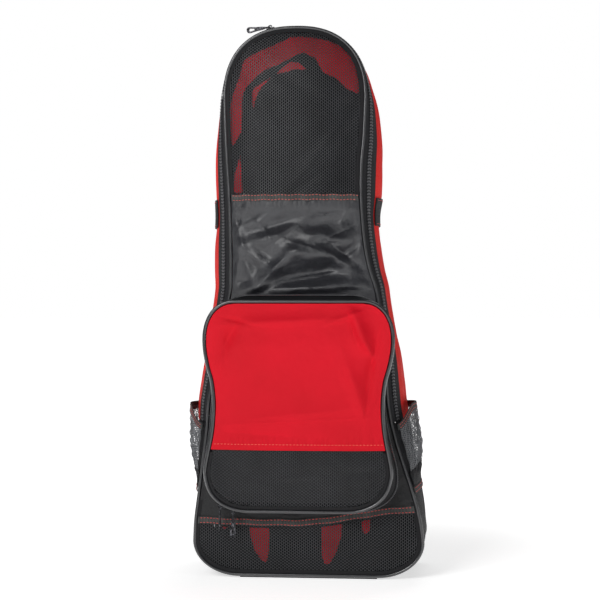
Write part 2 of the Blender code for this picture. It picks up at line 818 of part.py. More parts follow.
def yoke_place(u, row):
    z = YOKE_LOW + (YOKE_HIGH - YOKE_LOW) * row
    x = u * 0.436 * HALF
    stand = (STRAP_THICK + 0.0018) * (1 - ease((row - 0.28) / 0.6))
    return Vector((x, back_surface(x, z) + BACK_CLEAR + 0.0009 + stand, z))


sheet("yoke_back", steps(-1.0, 1.0, 6), [0.0, 0.14, 0.28, 0.5, 0.75, 1.0], yoke_place, 0.0016, RIBBON, bag)


def strap_middle(side, z):
    share = (STRAP_TOP - z) / (STRAP_TOP - STRAP_END)
    return side * HALF * (0.224 + 0.224 * ease(share))


def strap_place(side):
    def place(u, z):
        share = (STRAP_TOP - z) / (STRAP_TOP - STRAP_END)
        middle = strap_middle(side, z)
        x = middle + u * (STRAP / 2 - 0.006 * ease((share - 0.55) / 0.45))
        stand = 0.016 * math.sin(math.pi * min(max(share * 1.1 - 0.06, 0.0), 1.0)) ** 2
        y = back_surface(x, z) + BACK_CLEAR + STRAP_THICK / 2 + 0.0012 + stand
        return Vector((x, y, z))

    return place


def web_place(side):
    def place(u, row):
        top = STRAP_END - 0.004
        z = WEB_FOOT + (top - WEB_FOOT) * row
        x = side * HALF * (0.739 - 0.290 * row) + u * WEBBING / 2
        stand = 0.008 * math.sin(math.pi * row)
        return Vector((x, back_surface(x, z) + BACK_CLEAR + WEBBING_THICK / 2 + 0.0001 + stand, z))

    return place


for word, side in SIDES:
    strap_rows = steps(STRAP_END, STRAP_TOP, 11)
    sheet("shoulder_strap_" + word, [-1, 0, 1], strap_rows, strap_place(side), STRAP_THICK, PADDED, bag)
    web_rows = steps(0.0, 1.0, 6)
    sheet("lower_webbing_" + word, [-1, 0, 1], web_rows, web_place(side), WEBBING_THICK, RIBBON, bag)
    ladder = box_data("ladder", (0.034, 0.0042, 0.026), rounded=0.0008)
    low_spot = web_place(side)(0, 0.80)
    high_spot = web_place(side)(0, 0.98)
    spot = (low_spot + high_spot) / 2
    run = high_spot - low_spot
    lean = math.atan2(run.y, run.z)
    place = (spot.x, spot.y + WEBBING_THICK / 2 + 0.0036, spot.z)
    buckle = add("strap_adjuster_" + word, ladder, PLASTIC, bag, place)
    buckle.rotation_euler = (-lean, 0, 0)
    for rise in (-0.006, 0.006):
        slot = helper("slot_" + word, box_data("slot", (0.0265, 0.02, 0.0036)), (0, 0, rise), buckle)
        boolean(buckle, slot, "DIFFERENCE")

# Zip sliders and their pulls
BODY_LONG = 0.0115
BODY_WIDE = 0.0096
PLATE = 0.0014
WIRE = 0.0007
WINDOW_HIGH = 0.0029
WINDOW_LONG = 0.0026
EYE = 0.0047
PULL_LONG = 0.032


def slider(name, at, turn, tilt):
    """A slider on a coil at a point: turn is the angle of its outward side from +X towards +Z, tilt its roll."""
    plate = box_data(name, (BODY_LONG, BODY_WIDE, PLATE), (0, 0, PLATE / 2), rounded=0.0004)
    body = add(name, plate, METAL, bag, at)
    body.rotation_euler = (tilt, math.radians(90) - turn, 0)
    reach = WINDOW_LONG / 2 + WIRE
    top = PLATE + WINDOW_HIGH + WIRE
    arch = [(-reach, 0, PLATE / 2), (-reach, 0, top - 0.0008), (-reach + 0.0008, 0, top)]
    arch += [(reach - 0.0008, 0, top), (reach, 0, top - 0.0008), (reach, 0, PLATE / 2)]
    for hand in (-1, 1):
        rail = helper(name + "_rail", box_data("rail", (BODY_LONG - 0.0022, 0.0008, 0.0022)))
        rail.parent = body
        rail.location = (0, hand * (BODY_WIDE / 2 - 0.0008), -0.0005)
        boolean(body, rail, "UNION")
    crown = helper_mesh(tube(name + "_crown", arch, WIRE, METAL, bag))
    crown.parent = body
    boolean(body, crown, "UNION")
    return body


def pull(name, at, turn, facing):
    """A pull hung from at: its eye bar is along Y, turn is the way it points, facing shows its flat side."""
    pivot = bpy.data.objects.new(name + "_pivot", None)
    pivot.location = at
    bag.objects.link(pivot)
    half = 0.0026
    eye = [(0, -half, 0), (0, half, 0), (EYE, half, 0), (EYE + 0.0012, 0.0009, 0)]
    eye += [(EYE + 0.0012, -0.0009, 0), (EYE, -half, 0)]
    ring = helper_mesh(tube(name + "_eye", eye, WIRE, METAL, bag, ring=True))
    shape = bpy.data.curves.new(name, "CURVE")
    shape.dimensions = "2D"
    shape.fill_mode = "BOTH"
    shape.extrude = 0.0008
    shape.bevel_depth = 0.0002
    shape.bevel_resolution = 0
    outer = shape.splines.new("POLY")
    corners = [(EYE + 0.0004, 0.0008), (0.011, 0.0020), (0.019, 0.0026), (0.028, 0.0040), (0.0305, 0.0034)]
    corners += [(PULL_LONG, 0.0016)]
    corners += [(x, -y) for x, y in reversed(corners)]
    outer.points.add(len(corners) - 1)
    for spot, corner in zip(outer.points, corners):
        spot.co = (*corner, 0.0, 1.0)
    outer.use_cyclic_u = True
    inner = shape.splines.new("POLY")
    hole = [(0.0215, 0.0012), (0.0275, 0.0022), (0.0292, 0.0), (0.0275, -0.0022), (0.0215, -0.0012)]
    inner.points.add(len(hole) - 1)
    for spot, corner in zip(inner.points, hole):
        spot.co = (*corner, 0.0, 1.0)
    inner.use_cyclic_u = True
    tab = add(name + "_tab", shape, METAL, bag)
    if facing:
        tab.rotation_euler = (math.radians(90), 0, 0)
    tab = helper_mesh(tab)
    tab.data.materials.clear()
    moving = add(name, tab.data.copy(), METAL, bag, parent=pivot)
    bpy.data.objects.remove(tab, do_unlink=True)
    ring.parent = moving
    boolean(moving, ring, "UNION")
    moving.rotation_euler = (0, -turn, 0)
    return moving


def hardware(slider_name, pull_name, seat, beside, normal, hang, facing):
    """Slider seated on a coil, level with a point beside it, with its pull's bar in the crown's window."""
    turn = math.atan2(normal[1], normal[0])
    out = Vector((normal[0], 0.0, normal[1]))
    across = beside - seat
    slider(slider_name, seat, turn, math.atan(across.dot(out) / across.y))
    pull(pull_name, seat + out * (PLATE + WINDOW_HIGH / 2 + 0.0001), math.radians(hang), facing)


SLIDER_SEAT = CLOTH / 2 + GAP + COIL_THICK + 0.0007
MAIN_T = -0.055
main_seat = side_place(MAIN_T, (COIL_START + COIL_END) / 2, lift=SLIDER_SEAT)
main_beside = side_place(MAIN_T, COIL_END, lift=SLIDER_SEAT)
hardware("main_slider", "main_pull", main_seat, main_beside, outward(MAIN_T), 188, True)

PULL_PLACE = 0.1205
PULL_SPACING = 0.0200
for word, s, facing in (("a", PULL_PLACE + PULL_SPACING, False), ("b", PULL_PLACE, True)):
    seat_lift = CLOTH / 2 + GAP + 0.0010 + 0.0007 + 0.0006
    seat = gusset_place(s, 0.56, lift=seat_lift)
    beside = gusset_place(s, 0.62, lift=seat_lift)
    before = loop_point(s - 0.01, FACE_LOOP)
    after = loop_point(s + 0.01, FACE_LOOP)
    across, up = after[0] - before[0], after[1] - before[1]
    length = math.hypot(across, up)
    hardware("pocket_slider_" + word, "pocket_pull_" + word, seat, beside, (-up / length, across / length), 270, facing)
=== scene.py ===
import functools
import math

import bmesh
import bpy
import numpy as np
from mathutils import Matrix, Vector


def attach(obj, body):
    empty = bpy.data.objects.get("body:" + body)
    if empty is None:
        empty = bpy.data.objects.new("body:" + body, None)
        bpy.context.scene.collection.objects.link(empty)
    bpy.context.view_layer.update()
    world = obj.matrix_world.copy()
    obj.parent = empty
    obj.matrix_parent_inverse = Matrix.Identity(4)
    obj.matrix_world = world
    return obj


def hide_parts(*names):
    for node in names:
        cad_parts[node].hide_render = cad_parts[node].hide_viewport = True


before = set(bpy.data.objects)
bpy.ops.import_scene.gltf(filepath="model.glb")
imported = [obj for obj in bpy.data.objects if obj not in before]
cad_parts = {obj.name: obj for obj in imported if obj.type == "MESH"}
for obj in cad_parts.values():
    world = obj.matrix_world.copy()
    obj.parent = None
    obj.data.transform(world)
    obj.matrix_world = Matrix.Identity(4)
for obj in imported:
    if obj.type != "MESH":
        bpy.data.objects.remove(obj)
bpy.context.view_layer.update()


# View, light and floor
# The bag is seen from its front, a little from its right, at half its height. It stands on a flat pale floor
# that fades to white, under a wide soft light on the upper left, a weak one on the right and one from behind.
TURN = math.radians(5.5)
FRONT_OF_BAG = Vector((0.0, -0.0725, 0.368))
VIEW_DISTANCE = 2.2
VIEW_WIDTH = 0.798
FLOOR_NEAR = 0.25
FLOOR_FAR = 0.9
FLOOR_GLOW = 0.62
SKY_LIGHT = 0.10

bpy.context.scene.view_settings.view_transform = "Standard"
bpy.ops.object.select_all(action="DESELECT")
eye = FRONT_OF_BAG + Vector((math.sin(TURN), -math.cos(TURN), 0.0)) * VIEW_DISTANCE
bpy.ops.object.camera_add(location=eye, rotation=(math.radians(90), 0, TURN))
camera = bpy.context.object
camera.data.sensor_width = 36.0
camera.data.lens = 36.0 * VIEW_DISTANCE / VIEW_WIDTH
bpy.context.scene.camera = camera

bpy.ops.mesh.primitive_plane_add(size=60.0, location=(0, 0, 0))
backdrop = bpy.context.object
backdrop.name = "backdrop"
bpy.ops.object.transform_apply()
pale = bpy.data.materials.new("pale_floor")
pale.use_nodes = True
nodes = pale.node_tree.nodes
links = pale.node_tree.links
floor = nodes["Principled BSDF"]
floor.inputs["Base Color"].default_value = (0.93, 0.93, 0.93, 1)
floor.inputs["Roughness"].default_value = 0.9
floor.inputs["Specular IOR Level"].default_value = 0.0
floor.inputs["Emission Color"].default_value = (1, 1, 1, 1)
place = nodes.new("ShaderNodeTexCoord")
far = nodes.new("ShaderNodeVectorMath")
far.operation = "LENGTH"
glow = nodes.new("ShaderNodeMapRange")
glow.interpolation_type = "SMOOTHSTEP"
glow.inputs["From Min"].default_value = FLOOR_NEAR
glow.inputs["From Max"].default_value = FLOOR_FAR
glow.inputs["To Min"].default_value = FLOOR_GLOW
glow.inputs["To Max"].default_value = 1.0
links.new(place.outputs["Object"], far.inputs[0])
links.new(far.outputs["Value"], glow.inputs["Value"])
links.new(glow.outputs["Result"], floor.inputs["Emission Strength"])
backdrop.data.materials.append(pale)

# The sky is white where it is seen and dim as a light, so that the black cloth keeps its depth
world = bpy.data.worlds.new("studio")
bpy.context.scene.world = world
world.use_nodes = True
sky = world.node_tree.nodes["Background"]
seen = world.node_tree.nodes.new("ShaderNodeLightPath")
strength = world.node_tree.nodes.new("ShaderNodeMapRange")
strength.inputs["To Min"].default_value = SKY_LIGHT
strength.inputs["To Max"].default_value = 1.0
sky.inputs["Color"].default_value = (1, 1, 1, 1)
world.node_tree.links.new(seen.outputs["Is Camera Ray"], strength.inputs["Value"])
world.node_tree.links.new(strength.outputs["Result"], sky.inputs["Strength"])

# Place, width and height of the lamp, watts
LAMPS = (
    ((-0.95, -2.2, 1.5), 1.0, 1.2, 34),
    ((1.7, -1.3, 0.7), 0.35, 1.5, 4),
    ((0.2, 1.8, 2.2), 1.6, 1.0, 14),
)
for spot, wide, high, watts in LAMPS:
    aim = (Vector((0, 0, 0.4)) - Vector(spot)).to_track_quat("-Z", "Y").to_euler()
    bpy.ops.object.light_add(type="AREA", location=spot, rotation=aim)
    lamp = bpy.context.object.data
    lamp.shape = "RECTANGLE"
    lamp.size = wide
    lamp.size_y = high
    lamp.energy = watts


# Piping round the front and round the back
# A round cord wrapped in smooth black PVC, sewn into the seams that join the front and the back to the sides.
# Its shine is a thin line, and it shows the small waves of a hand-guided seam.
HEIGHT = 0.735
HALF = 0.1515
FRONT_LOW = 0.085
FRONT_HIGH = 0.060
BACK_LOW = 0.075
BACK_HIGH = 0.062
FRONT_CROWN = 0.017
BACK_CROWN = 0.005
CLOTH = 0.0012
GAP = 0.0004
SEAM_GAP = 0.0006
PIPE = 0.0023
PIPE_SIDES = 12
FLOOR_LIFT = 0.004
CORNER_WIDE = 0.396 * HALF
CORNER_TOP = 0.0667 * HEIGHT
ARCH_START = 0.864 * HEIGHT
ARCH_POWER = 2.4

# Shares of HEIGHT, then of HALF: half width and sideways lean of the front outline
OUTLINE = (
    (0.067, 1.000, 0.078),
    (0.103, 0.984, 0.070),
    (0.148, 0.944, 0.056),
    (0.212, 0.871, 0.024),
    (0.266, 0.817, 0.000),
    (0.320, 0.784, -0.015),
    (0.411, 0.724, 0.013),
    (0.516, 0.645, 0.026),
    (0.555, 0.614, 0.000),
    (0.593, 0.594, -0.020),
    (0.652, 0.583, -0.040),
    (0.695, 0.582, -0.050),
    (0.751, 0.593, -0.057),
    (0.795, 0.609, -0.054),
    (0.864, 0.624, -0.053),
)


def between(at, rows, column):
    """Value of a table's column at a share of the first column, along a smooth curve."""
    last = len(rows) - 1
    if at <= rows[0][0]:
        return rows[0][column]
    if at >= rows[last][0]:
        return rows[last][column]
    index = 0
    while rows[index + 1][0] < at:
        index += 1

    def slope(row):
        low = max(row - 1, 0)
        high = min(row + 1, last)
        return (rows[high][column] - rows[low][column]) / (rows[high][0] - rows[low][0])

    span = rows[index + 1][0] - rows[index][0]
    part = (at - rows[index][0]) / span
    start = rows[index][column]
    end = rows[index + 1][column]
    return (
        start * (1 + 2 * part) * (1 - part) ** 2
        + slope(index) * span * part * (1 - part) ** 2
        + end * part * part * (3 - 2 * part)
        + slope(index + 1) * span * part * part * (part - 1)
    )


def ease(value):
    """0 below 0, 1 above 1, and a smooth rise between them."""
    value = min(max(value, 0.0), 1.0)
    return value * value * (3 - 2 * value)


@functools.lru_cache(maxsize=None)
def sway_at(z):
    """Sideways lean of the outline's middle at a height."""
    return HALF * between(z / HEIGHT, OUTLINE, 2)


@functools.lru_cache(maxsize=None)
def half_at(z, inset=0.0):
    """Half width at a height, on the outline drawn in by inset."""
    if z < CORNER_TOP:
        wide = CORNER_WIDE - inset
        high = CORNER_TOP - FLOOR_LIFT - inset
        down = min((CORNER_TOP - z) / high, 1.0)
        return HALF - CORNER_WIDE + wide * math.sqrt(1 - down * down)
    if z > ARCH_START:
        wide = HALF * OUTLINE[-1][1] - inset
        high = HEIGHT - PIPE - ARCH_START - inset
        up = min((z - ARCH_START) / high, 1.0)
        return wide * (1 - up**ARCH_POWER) ** (1 / ARCH_POWER)
    return HALF * between(z / HEIGHT, OUTLINE, 1) - inset


def arch_height(angle, inset):
    """Height of the arch at an angle from its foot, on the outline drawn in by inset."""
    high = HEIGHT - PIPE - ARCH_START - inset
    return ARCH_START + high * math.sin(angle) ** (2 / ARCH_POWER)


def outline(t, inset=0.0):
    """Point (x, z) of the outline: t is -1 at the lower left, 0 at the top and 1 at the lower right."""
    side = -1.0 if t < 0 else 1.0
    part = abs(t)
    if part < 0.3:
        angle = math.radians(90) * (1 - part / 0.3)
        wide = HALF * OUTLINE[-1][1] - inset
        across = side * wide * math.cos(angle) ** (2 / ARCH_POWER)
        return sway_at(ARCH_START) + across, arch_height(angle, inset)
    if part < 0.85:
        z = ARCH_START + (CORNER_TOP - ARCH_START) * (part - 0.3) / 0.55
        return sway_at(z) + side * half_at(z, inset), z
    angle = math.radians(90) * (part - 0.85) / 0.15
    z = CORNER_TOP - (CORNER_TOP - FLOOR_LIFT - inset) * math.sin(angle)
    half = HALF - CORNER_WIDE + (CORNER_WIDE - inset) * math.cos(angle)
    return sway_at(CORNER_TOP) + side * half, z


def t_at(z):
    """Outline place, on the right, of a height on the bag's straight sides."""
    return 0.3 + 0.55 * (ARCH_START - z) / (ARCH_START - CORNER_TOP)


def front_at(z):
    return -(FRONT_LOW + (FRONT_HIGH - FRONT_LOW) * z / HEIGHT)


def back_at(z):
    return BACK_LOW + (BACK_HIGH - BACK_LOW) * z / HEIGHT


def crown_share(x, z):
    """How much of a panel's crown is left here: 1 in the middle, 0 on the outline."""
    wide = half_at(min(z, ARCH_START))
    off = abs(x - sway_at(z)) / wide
    if z > ARCH_START:
        up = (z - ARCH_START) / (HEIGHT - PIPE - ARCH_START)
        off = (off**ARCH_POWER + up**ARCH_POWER) ** (1 / ARCH_POWER)
    return max(1 - min(off, 1.0) ** 2.5, 0.0) * ease((z - FLOOR_LIFT) / 0.07)


def front_surface(x, z):
    return front_at(z) - FRONT_CROWN * crown_share(x, z)


def back_surface(x, z):
    return back_at(z) + BACK_CROWN * crown_share(x, z)


def front_place(u, z, lift=0.0, inset=PIPE + CLOTH):
    """Point on the front panel: u from -1 to 1 across, z up, lift towards the viewer."""
    x = sway_at(z) + u * half_at(z, inset)
    return Vector((x, front_surface(x, z) - lift, z))


def steps(start, end, count):
    """Values from start to end in count equal steps."""
    return [start + (end - start) * k / count for k in range(count + 1)]


def tint(red, green, blue):
    """Linear colour of three screen values from 0 to 255."""
    parts = (red, green, blue)
    return tuple(((part / 255 + 0.055) / 1.055) ** 2.4 if part > 10 else part / 3295 for part in parts)


class Value:
    """A number or colour that varies over a surface; arithmetic on it adds Math nodes to its material."""

    def __init__(self, look, socket):
        self.look = look
        self.socket = socket

    def __add__(self, other):
        return self.look.math("ADD", self, other)

    def __sub__(self, other):
        return self.look.math("SUBTRACT", self, other)

    def __rsub__(self, other):
        return self.look.math("SUBTRACT", other, self)

    def __mul__(self, other):
        return self.look.math("MULTIPLY", self, other)

    def __abs__(self):
        return self.look.math("ABSOLUTE", self)

    __radd__ = __add__
    __rmul__ = __mul__


class Look:
    """A finish: its plain colour and roughness, the shader's other even values, then what varies."""

    def __init__(self, name, colour, roughness, even=()):
        self.made = bpy.data.materials.new(name)
        self.made.use_nodes = True
        self.tree = self.made.node_tree
        self.shader = self.tree.nodes["Principled BSDF"]
        self.vary("Base Color", (*tint(*colour), 1.0))
        self.vary("Roughness", roughness)
        for socket, value in dict(even).items():
            self.vary(socket, value)

    def vary(self, socket, value):
        self.feed(self.shader.inputs[socket], value)

    def feed(self, socket, value):
        if isinstance(value, Value):
            self.tree.links.new(value.socket, socket)
        else:
            socket.default_value = value

    def node(self, kind, settings=(), inputs=(), output=0):
        made = self.tree.nodes.new(kind)
        for name, value in dict(settings).items():
            setattr(made, name, value)
        for name, value in dict(inputs).items():
            self.feed(made.inputs[name], value)
        return Value(self, made.outputs[output])

    def math(self, operation, *values):
        return self.node("ShaderNodeMath", {"operation": operation}, dict(enumerate(values)))

    def along_cloth(self):
        return self.node("ShaderNodeUVMap", {"uv_map": "cloth"})

    def in_space(self):
        return self.node("ShaderNodeTexCoord", output="Object")

    def split(self, vector):
        made = self.node("ShaderNodeSeparateXYZ", inputs={0: vector}).socket.node
        return [Value(self, socket) for socket in made.outputs]

    def noise(self, at, scale, detail=2.0):
        return self.node("ShaderNodeTexNoise", inputs={"Vector": at, "Scale": scale, "Detail": detail})

    def step(self, value, low, high):
        settings = {"interpolation_type": "SMOOTHSTEP"}
        return self.node("ShaderNodeMapRange", settings, {0: value, 1: low, 2: high})

    def mix(self, share, first, second):
        settings = {"data_type": "RGBA"}
        return self.node("ShaderNodeMix", settings, {0: share, 6: first, 7: second}, output=2)

    def tones(self, share, low, high):
        """Mix of two colours given as screen values."""
        return self.mix(share, (*tint(*low), 1), (*tint(*high), 1))

    def bump(self, height, distance, normal=None):
        inputs = {"Height": height, "Distance": distance, "Strength": 1.0}
        if normal:
            inputs["Normal"] = normal
        return self.node("ShaderNodeBump", inputs=inputs)


def settle(piece, look, nodes, smooth=40):
    """Gives a finished piece its smooth faces, its finish and its place in the frame."""
    bpy.ops.object.select_all(action="DESELECT")
    piece.select_set(True)
    bpy.context.view_layer.objects.active = piece
    bpy.ops.object.shade_smooth_by_angle(angle=math.radians(smooth))
    piece.data.materials.append(look.made)
    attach(piece, "bag")
    if nodes:
        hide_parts(*nodes)


def from_mesh(name, points, faces, chart=None):
    """An object of points and faces, with a UV map in metres where a chart of one pair a point is given."""
    data = bpy.data.meshes.new(name)
    data.from_pydata([tuple(point) for point in points], [], faces)
    if chart is not None:
        layer = data.uv_layers.new(name="cloth")
        spots = np.zeros(len(data.loops), dtype=np.int64)
        data.loops.foreach_get("vertex_index", spots)
        layer.data.foreach_set("uv", np.asarray(chart, dtype=np.float32)[spots].ravel())
    piece = bpy.data.objects.new(name, data)
    bpy.context.scene.collection.objects.link(piece)
    return piece


def grid_faces(rows, columns, wrap_rows=False, wrap_columns=False):
    """Faces of a grid of points laid out row by row; a wrapped direction closes on itself."""
    faces = []
    for row in range(rows if wrap_rows else rows - 1):
        start = row * columns
        above = (row + 1) % rows * columns
        for column in range(columns if wrap_columns else columns - 1):
            beside = (column + 1) % columns
            faces.append((start + column, start + beside, above + beside, above + column))
    return faces


def face_outward(piece):
    """Turns the faces of a closed piece to its outside."""
    shell = bmesh.new()
    shell.from_mesh(piece.data)
    bmesh.ops.recalc_face_normals(shell, faces=shell.faces)
    shell.to_mesh(piece.data)
    shell.free()


def piping(name, points, node):
    """A closed ring of cord along a line of points, nearly in an upright plane."""
    rings = []
    chart = []
    run = 0.0
    for index, point in enumerate(points):
        after = points[(index + 1) % len(points)]
        ahead = (after - points[index - 1]).normalized()
        aside = ahead.cross(Vector((0, 1, 0))).normalized()
        up = aside.cross(ahead)
        for k in range(PIPE_SIDES):
            angle = 2 * math.pi * k / PIPE_SIDES
            rings.append(point + (aside * math.cos(angle) + up * math.sin(angle)) * PIPE)
            chart.append((run, PIPE * angle))
        run += (after - point).length
    piece = from_mesh(name, rings, grid_faces(len(points), PIPE_SIDES, True, True), chart)
    face_outward(piece)
    settle(piece, vinyl, [node], smooth=80)


vinyl = Look("piping_vinyl", (24, 25, 27), 0.30, {"Coat Weight": 1.0, "Coat Roughness": 0.22})
space = vinyl.in_space()
waves = vinyl.noise(space, 110.0)
vinyl.vary("Base Color", vinyl.tones(waves, (18, 18, 20), (46, 47, 51)))
vinyl.vary("Roughness", 0.28 + 0.10 * vinyl.noise(space, 45.0))
vinyl.vary("Normal", vinyl.bump(waves, 0.0001, vinyl.bump(vinyl.noise(space, 1400.0), 0.00001)))

for word, depth_at in (("front", front_at), ("back", back_at)):
    line = []
    for t in steps(-1.0, 1.0, 330):
        x, z = outline(t)
        line.append(Vector((x, depth_at(z), z)))
    for share in steps(0.92, -0.92, 22):
        x = sway_at(CORNER_TOP) + share * (HALF - CORNER_WIDE)
        line.append(Vector((x, depth_at(FLOOR_LIFT), FLOOR_LIFT)))
    piping("piping_" + word, line, word + "_piping")


# Net window
# A coated open net with long staggered holes, through which the fins can dry. A strip of tape binds its edge,
# and it is sewn between the piping and the ribbon across the front. It hangs in two or three soft folds.
NYLON_TOP = 0.6857 * HEIGHT
CELL_WIDE = 0.00265
CELL_HIGH = 0.0040
HOLE_WIDE = 0.73
HOLE_HIGH = 0.77
NET_THICK = 0.0006
NET_EDGE = PIPE + SEAM_GAP
BINDING = 0.0038
BINDING_THICK = 0.0005
BINDING_LIFT = 0.0004
# Share of a net's flat cut that is left as cloth around its holes
NET_SOLID = 0.85
# A cut is a little larger than its place, and no side of it is counted as less than this
EASE = 1.004
LEAST_SIDE = 0.0102

# Folds, in the same way everywhere: centre across (share of HALF), centre up (share of HEIGHT),
# turn in degrees, half length, half width and height (shares of HALF); a minus height is a hollow
WINDOW_FOLDS = (
    (0.26, 0.785, 50, 0.34, 0.060, 0.012),
    (0.10, 0.720, 38, 0.24, 0.050, -0.009),
    (-0.35, 0.860, -62, 0.34, 0.060, 0.010),
    (-0.10, 0.900, -35, 0.26, 0.060, -0.008),
    (0.42, 0.880, 70, 0.20, 0.050, 0.008),
)


def fold_height(x, z, folds, sharp=2.0):
    """Height of a table of folds above the smooth cloth; sharp nearer to 1 gives a crisp crest."""
    total = 0.0
    for across, up, turn, long, wide, high in folds:
        right = x - across * HALF
        rise = z - up * HEIGHT
        angle = math.radians(turn)
        along = right * math.cos(angle) + rise * math.sin(angle)
        aside = rise * math.cos(angle) - right * math.sin(angle)
        total += high * HALF * math.exp(-((along / (long * HALF)) ** 2) - abs(aside / (wide * HALF)) ** sharp)
    return total


def thicken(piece, thick, even=True):
    """Turns a sheet into a closed body of one thickness."""
    bpy.ops.object.select_all(action="DESELECT")
    piece.select_set(True)
    bpy.context.view_layer.objects.active = piece
    shell = piece.modifiers.new("Thickness", "SOLIDIFY")
    shell.thickness = thick
    shell.offset = 0.0
    shell.use_even_offset = even
    shell.use_quality_normals = True
    bpy.ops.object.modifier_apply(modifier=shell.name)


def net(name, spot, inside, area, thick, wide=CELL_WIDE, high=CELL_HIGH):
    """A net of staggered long holes: spot(p, q) lays a flat place on the cloth, inside(p, q) is its reach."""
    low_p, high_p, low_q, high_q = area
    narrow = 0.36 * wide
    broad = wide - narrow
    corners = ((narrow, high / 2), (broad, 0), (narrow, -high / 2), (-narrow, -high / 2), (-broad, 0))
    corners += ((-narrow, high / 2),)
    points = []
    chart = []
    faces = []
    shared = {}

    def point(p, q, outer):
        key = (round(p / wide * 50), round(q / high * 50))
        if outer and key in shared:
            return shared[key]
        points.append(spot(p, q))
        chart.append((p, q))
        if outer:
            shared[key] = len(points) - 1
        return len(points) - 1

    for column in range(int(math.floor(low_p / wide)), int(math.ceil(high_p / wide)) + 1):
        for row in range(int(math.floor(low_q / high)), int(math.ceil(high_q / high)) + 1):
            middle_p = column * wide
            middle_q = (row + 0.5 * (column % 2)) * high
            if not all(inside(middle_p + p, middle_q + q) for p, q in corners):
                continue
            rim = [point(middle_p + p, middle_q + q, True) for p, q in corners]
            hole = [point(middle_p + p * HOLE_WIDE, middle_q + q * HOLE_HIGH, False) for p, q in corners]
            for k in range(6):
                faces.append((rim[k], rim[(k + 1) % 6], hole[(k + 1) % 6], hole[k]))
    piece = from_mesh(name, points, faces, chart)
    thicken(piece, thick, even=False)
    return piece


def join(piece, edge):
    """Joins a net and its edge or foot, whose faces take the second finish."""
    before = len(piece.data.polygons)
    bpy.ops.object.select_all(action="DESELECT")
    edge.select_set(True)
    piece.select_set(True)
    bpy.context.view_layer.objects.active = piece
    bpy.ops.object.join()
    for face in piece.data.polygons[before:]:
        face.material_index = 1


def bind(piece, places, border, outer, spot):
    """Joins a net and the tape on its edge: border(place, inset) is (x, z), which spot lays on the cloth."""
    lines = []
    for inset in (outer, NET_EDGE + BINDING):
        lines.append([spot(*border(place, inset)) - Vector((0, BINDING_LIFT, 0)) for place in places])
    run = [0.0]
    for start, end in zip(lines[0], lines[0][1:]):
        run.append(run[-1] + (end - start).length)
    wide = (lines[0][0] - lines[1][0]).length
    chart = [(across, length) for across in (0.0, wide) for length in run]
    edge = from_mesh(piece.name + "_binding", lines[0] + lines[1], grid_faces(2, len(places)), chart)
    thicken(edge, BINDING_THICK, even=False)
    join(piece, edge)


def laid_out(across, along, place):
    """Grid of the points of a sheet that place(across, along) lays out, with the lengths between them."""
    grid = np.array([[place(u, v) for u in across] for v in along])
    return grid, np.linalg.norm(np.diff(grid, axis=1), axis=2), np.linalg.norm(np.diff(grid, axis=0), axis=2)


def cut_size(across, along, place):
    """Width, length and area of the flat cut of a sheet that place lays out."""
    _, wide, long = laid_out(across, along, place)
    area = 0.25 * ((wide[:-1] + wide[1:]) * (long[:, :-1] + long[:, 1:])).sum()
    flat = (max(wide.sum(axis=1).max() * EASE, LEAST_SIDE), max(long.sum(axis=0).max() * EASE, LEAST_SIDE))
    return flat, min(area, flat[0] * flat[1])


def net_sheet(piece, looks, node, across, along, place, under="piping_front"):
    settle(piece, looks[0], [node], smooth=30)
    piece.data.materials.append(looks[1].made)
    flat, area = cut_size(across, along, place)
    area * NET_SOLID


def window_spot(x, z):
    fade = ease((half_at(z, NET_EDGE) - abs(x - sway_at(z))) / 0.014)
    return Vector((x, front_surface(x, z) - fold_height(x, z, WINDOW_FOLDS) * fade, z))


def window_cut(u, z):
    return front_place(u, z, inset=NET_EDGE)


def in_window(x, z):
    if not NYLON_TOP + 0.0005 < z < HEIGHT - PIPE - NET_EDGE - 0.0021:
        return False
    return abs(x - sway_at(z)) < half_at(z, NET_EDGE + 0.0014)


netting = Look("net_coated", (70, 71, 75), 0.42)
cloth_way = netting.along_cloth()
space = netting.in_space()
soft = netting.noise(space, 26.0, 3.0)
netting.vary("Base Color", netting.tones(soft, (23, 24, 26), (56, 57, 61)))
netting.vary("Roughness", 0.36 + 0.22 * netting.noise(space, 300.0))
netting.vary("Normal", netting.bump(netting.noise(cloth_way, 3200.0, 1.0), 0.00008))

# Binding tape over the net's edge. Its near-black colour is also painted shade, standing in for the shadow
# along the seam beside the piping.
binding_and_seam_shade = Look("net_binding_seam_shade", (16, 16, 18), 0.7, {"Specular IOR Level": 0.3})
worn = binding_and_seam_shade.noise(binding_and_seam_shade.in_space(), 300.0)
binding_and_seam_shade.vary("Base Color", binding_and_seam_shade.tones(worn, (10, 10, 12), (28, 28, 31)))
binding_and_seam_shade.vary("Normal", binding_and_seam_shade.bump(worn, 0.0003))

reach = (-0.11, 0.10, NYLON_TOP, HEIGHT)
window = net("net_window", window_spot, in_window, reach, NET_THICK)
sides = steps(-t_at(NYLON_TOP + 0.001), t_at(NYLON_TOP + 0.001), 220)
bind(window, sides, outline, PIPE, window_spot)
across = steps(-1, 1, 14)
along = [NYLON_TOP + GAP / 2, 0.54, 0.58, ARCH_START]
along += [arch_height(math.radians(angle), NET_EDGE) for angle in (14, 27, 40, 52, 63, 74, 85)]
net_sheet(window, (netting, binding_and_seam_shade), "window_mesh", across, along, window_cut)


# Lining behind the net window
# A loose dark lining a few millimetres behind the net. Red cloth shows through as a broad crescent that
# follows the arch and turns in on the left, with a spike and a tab inside it and a small wedge below it.
LINING_SEAM = 0.0062
LINING_THICK = 0.001

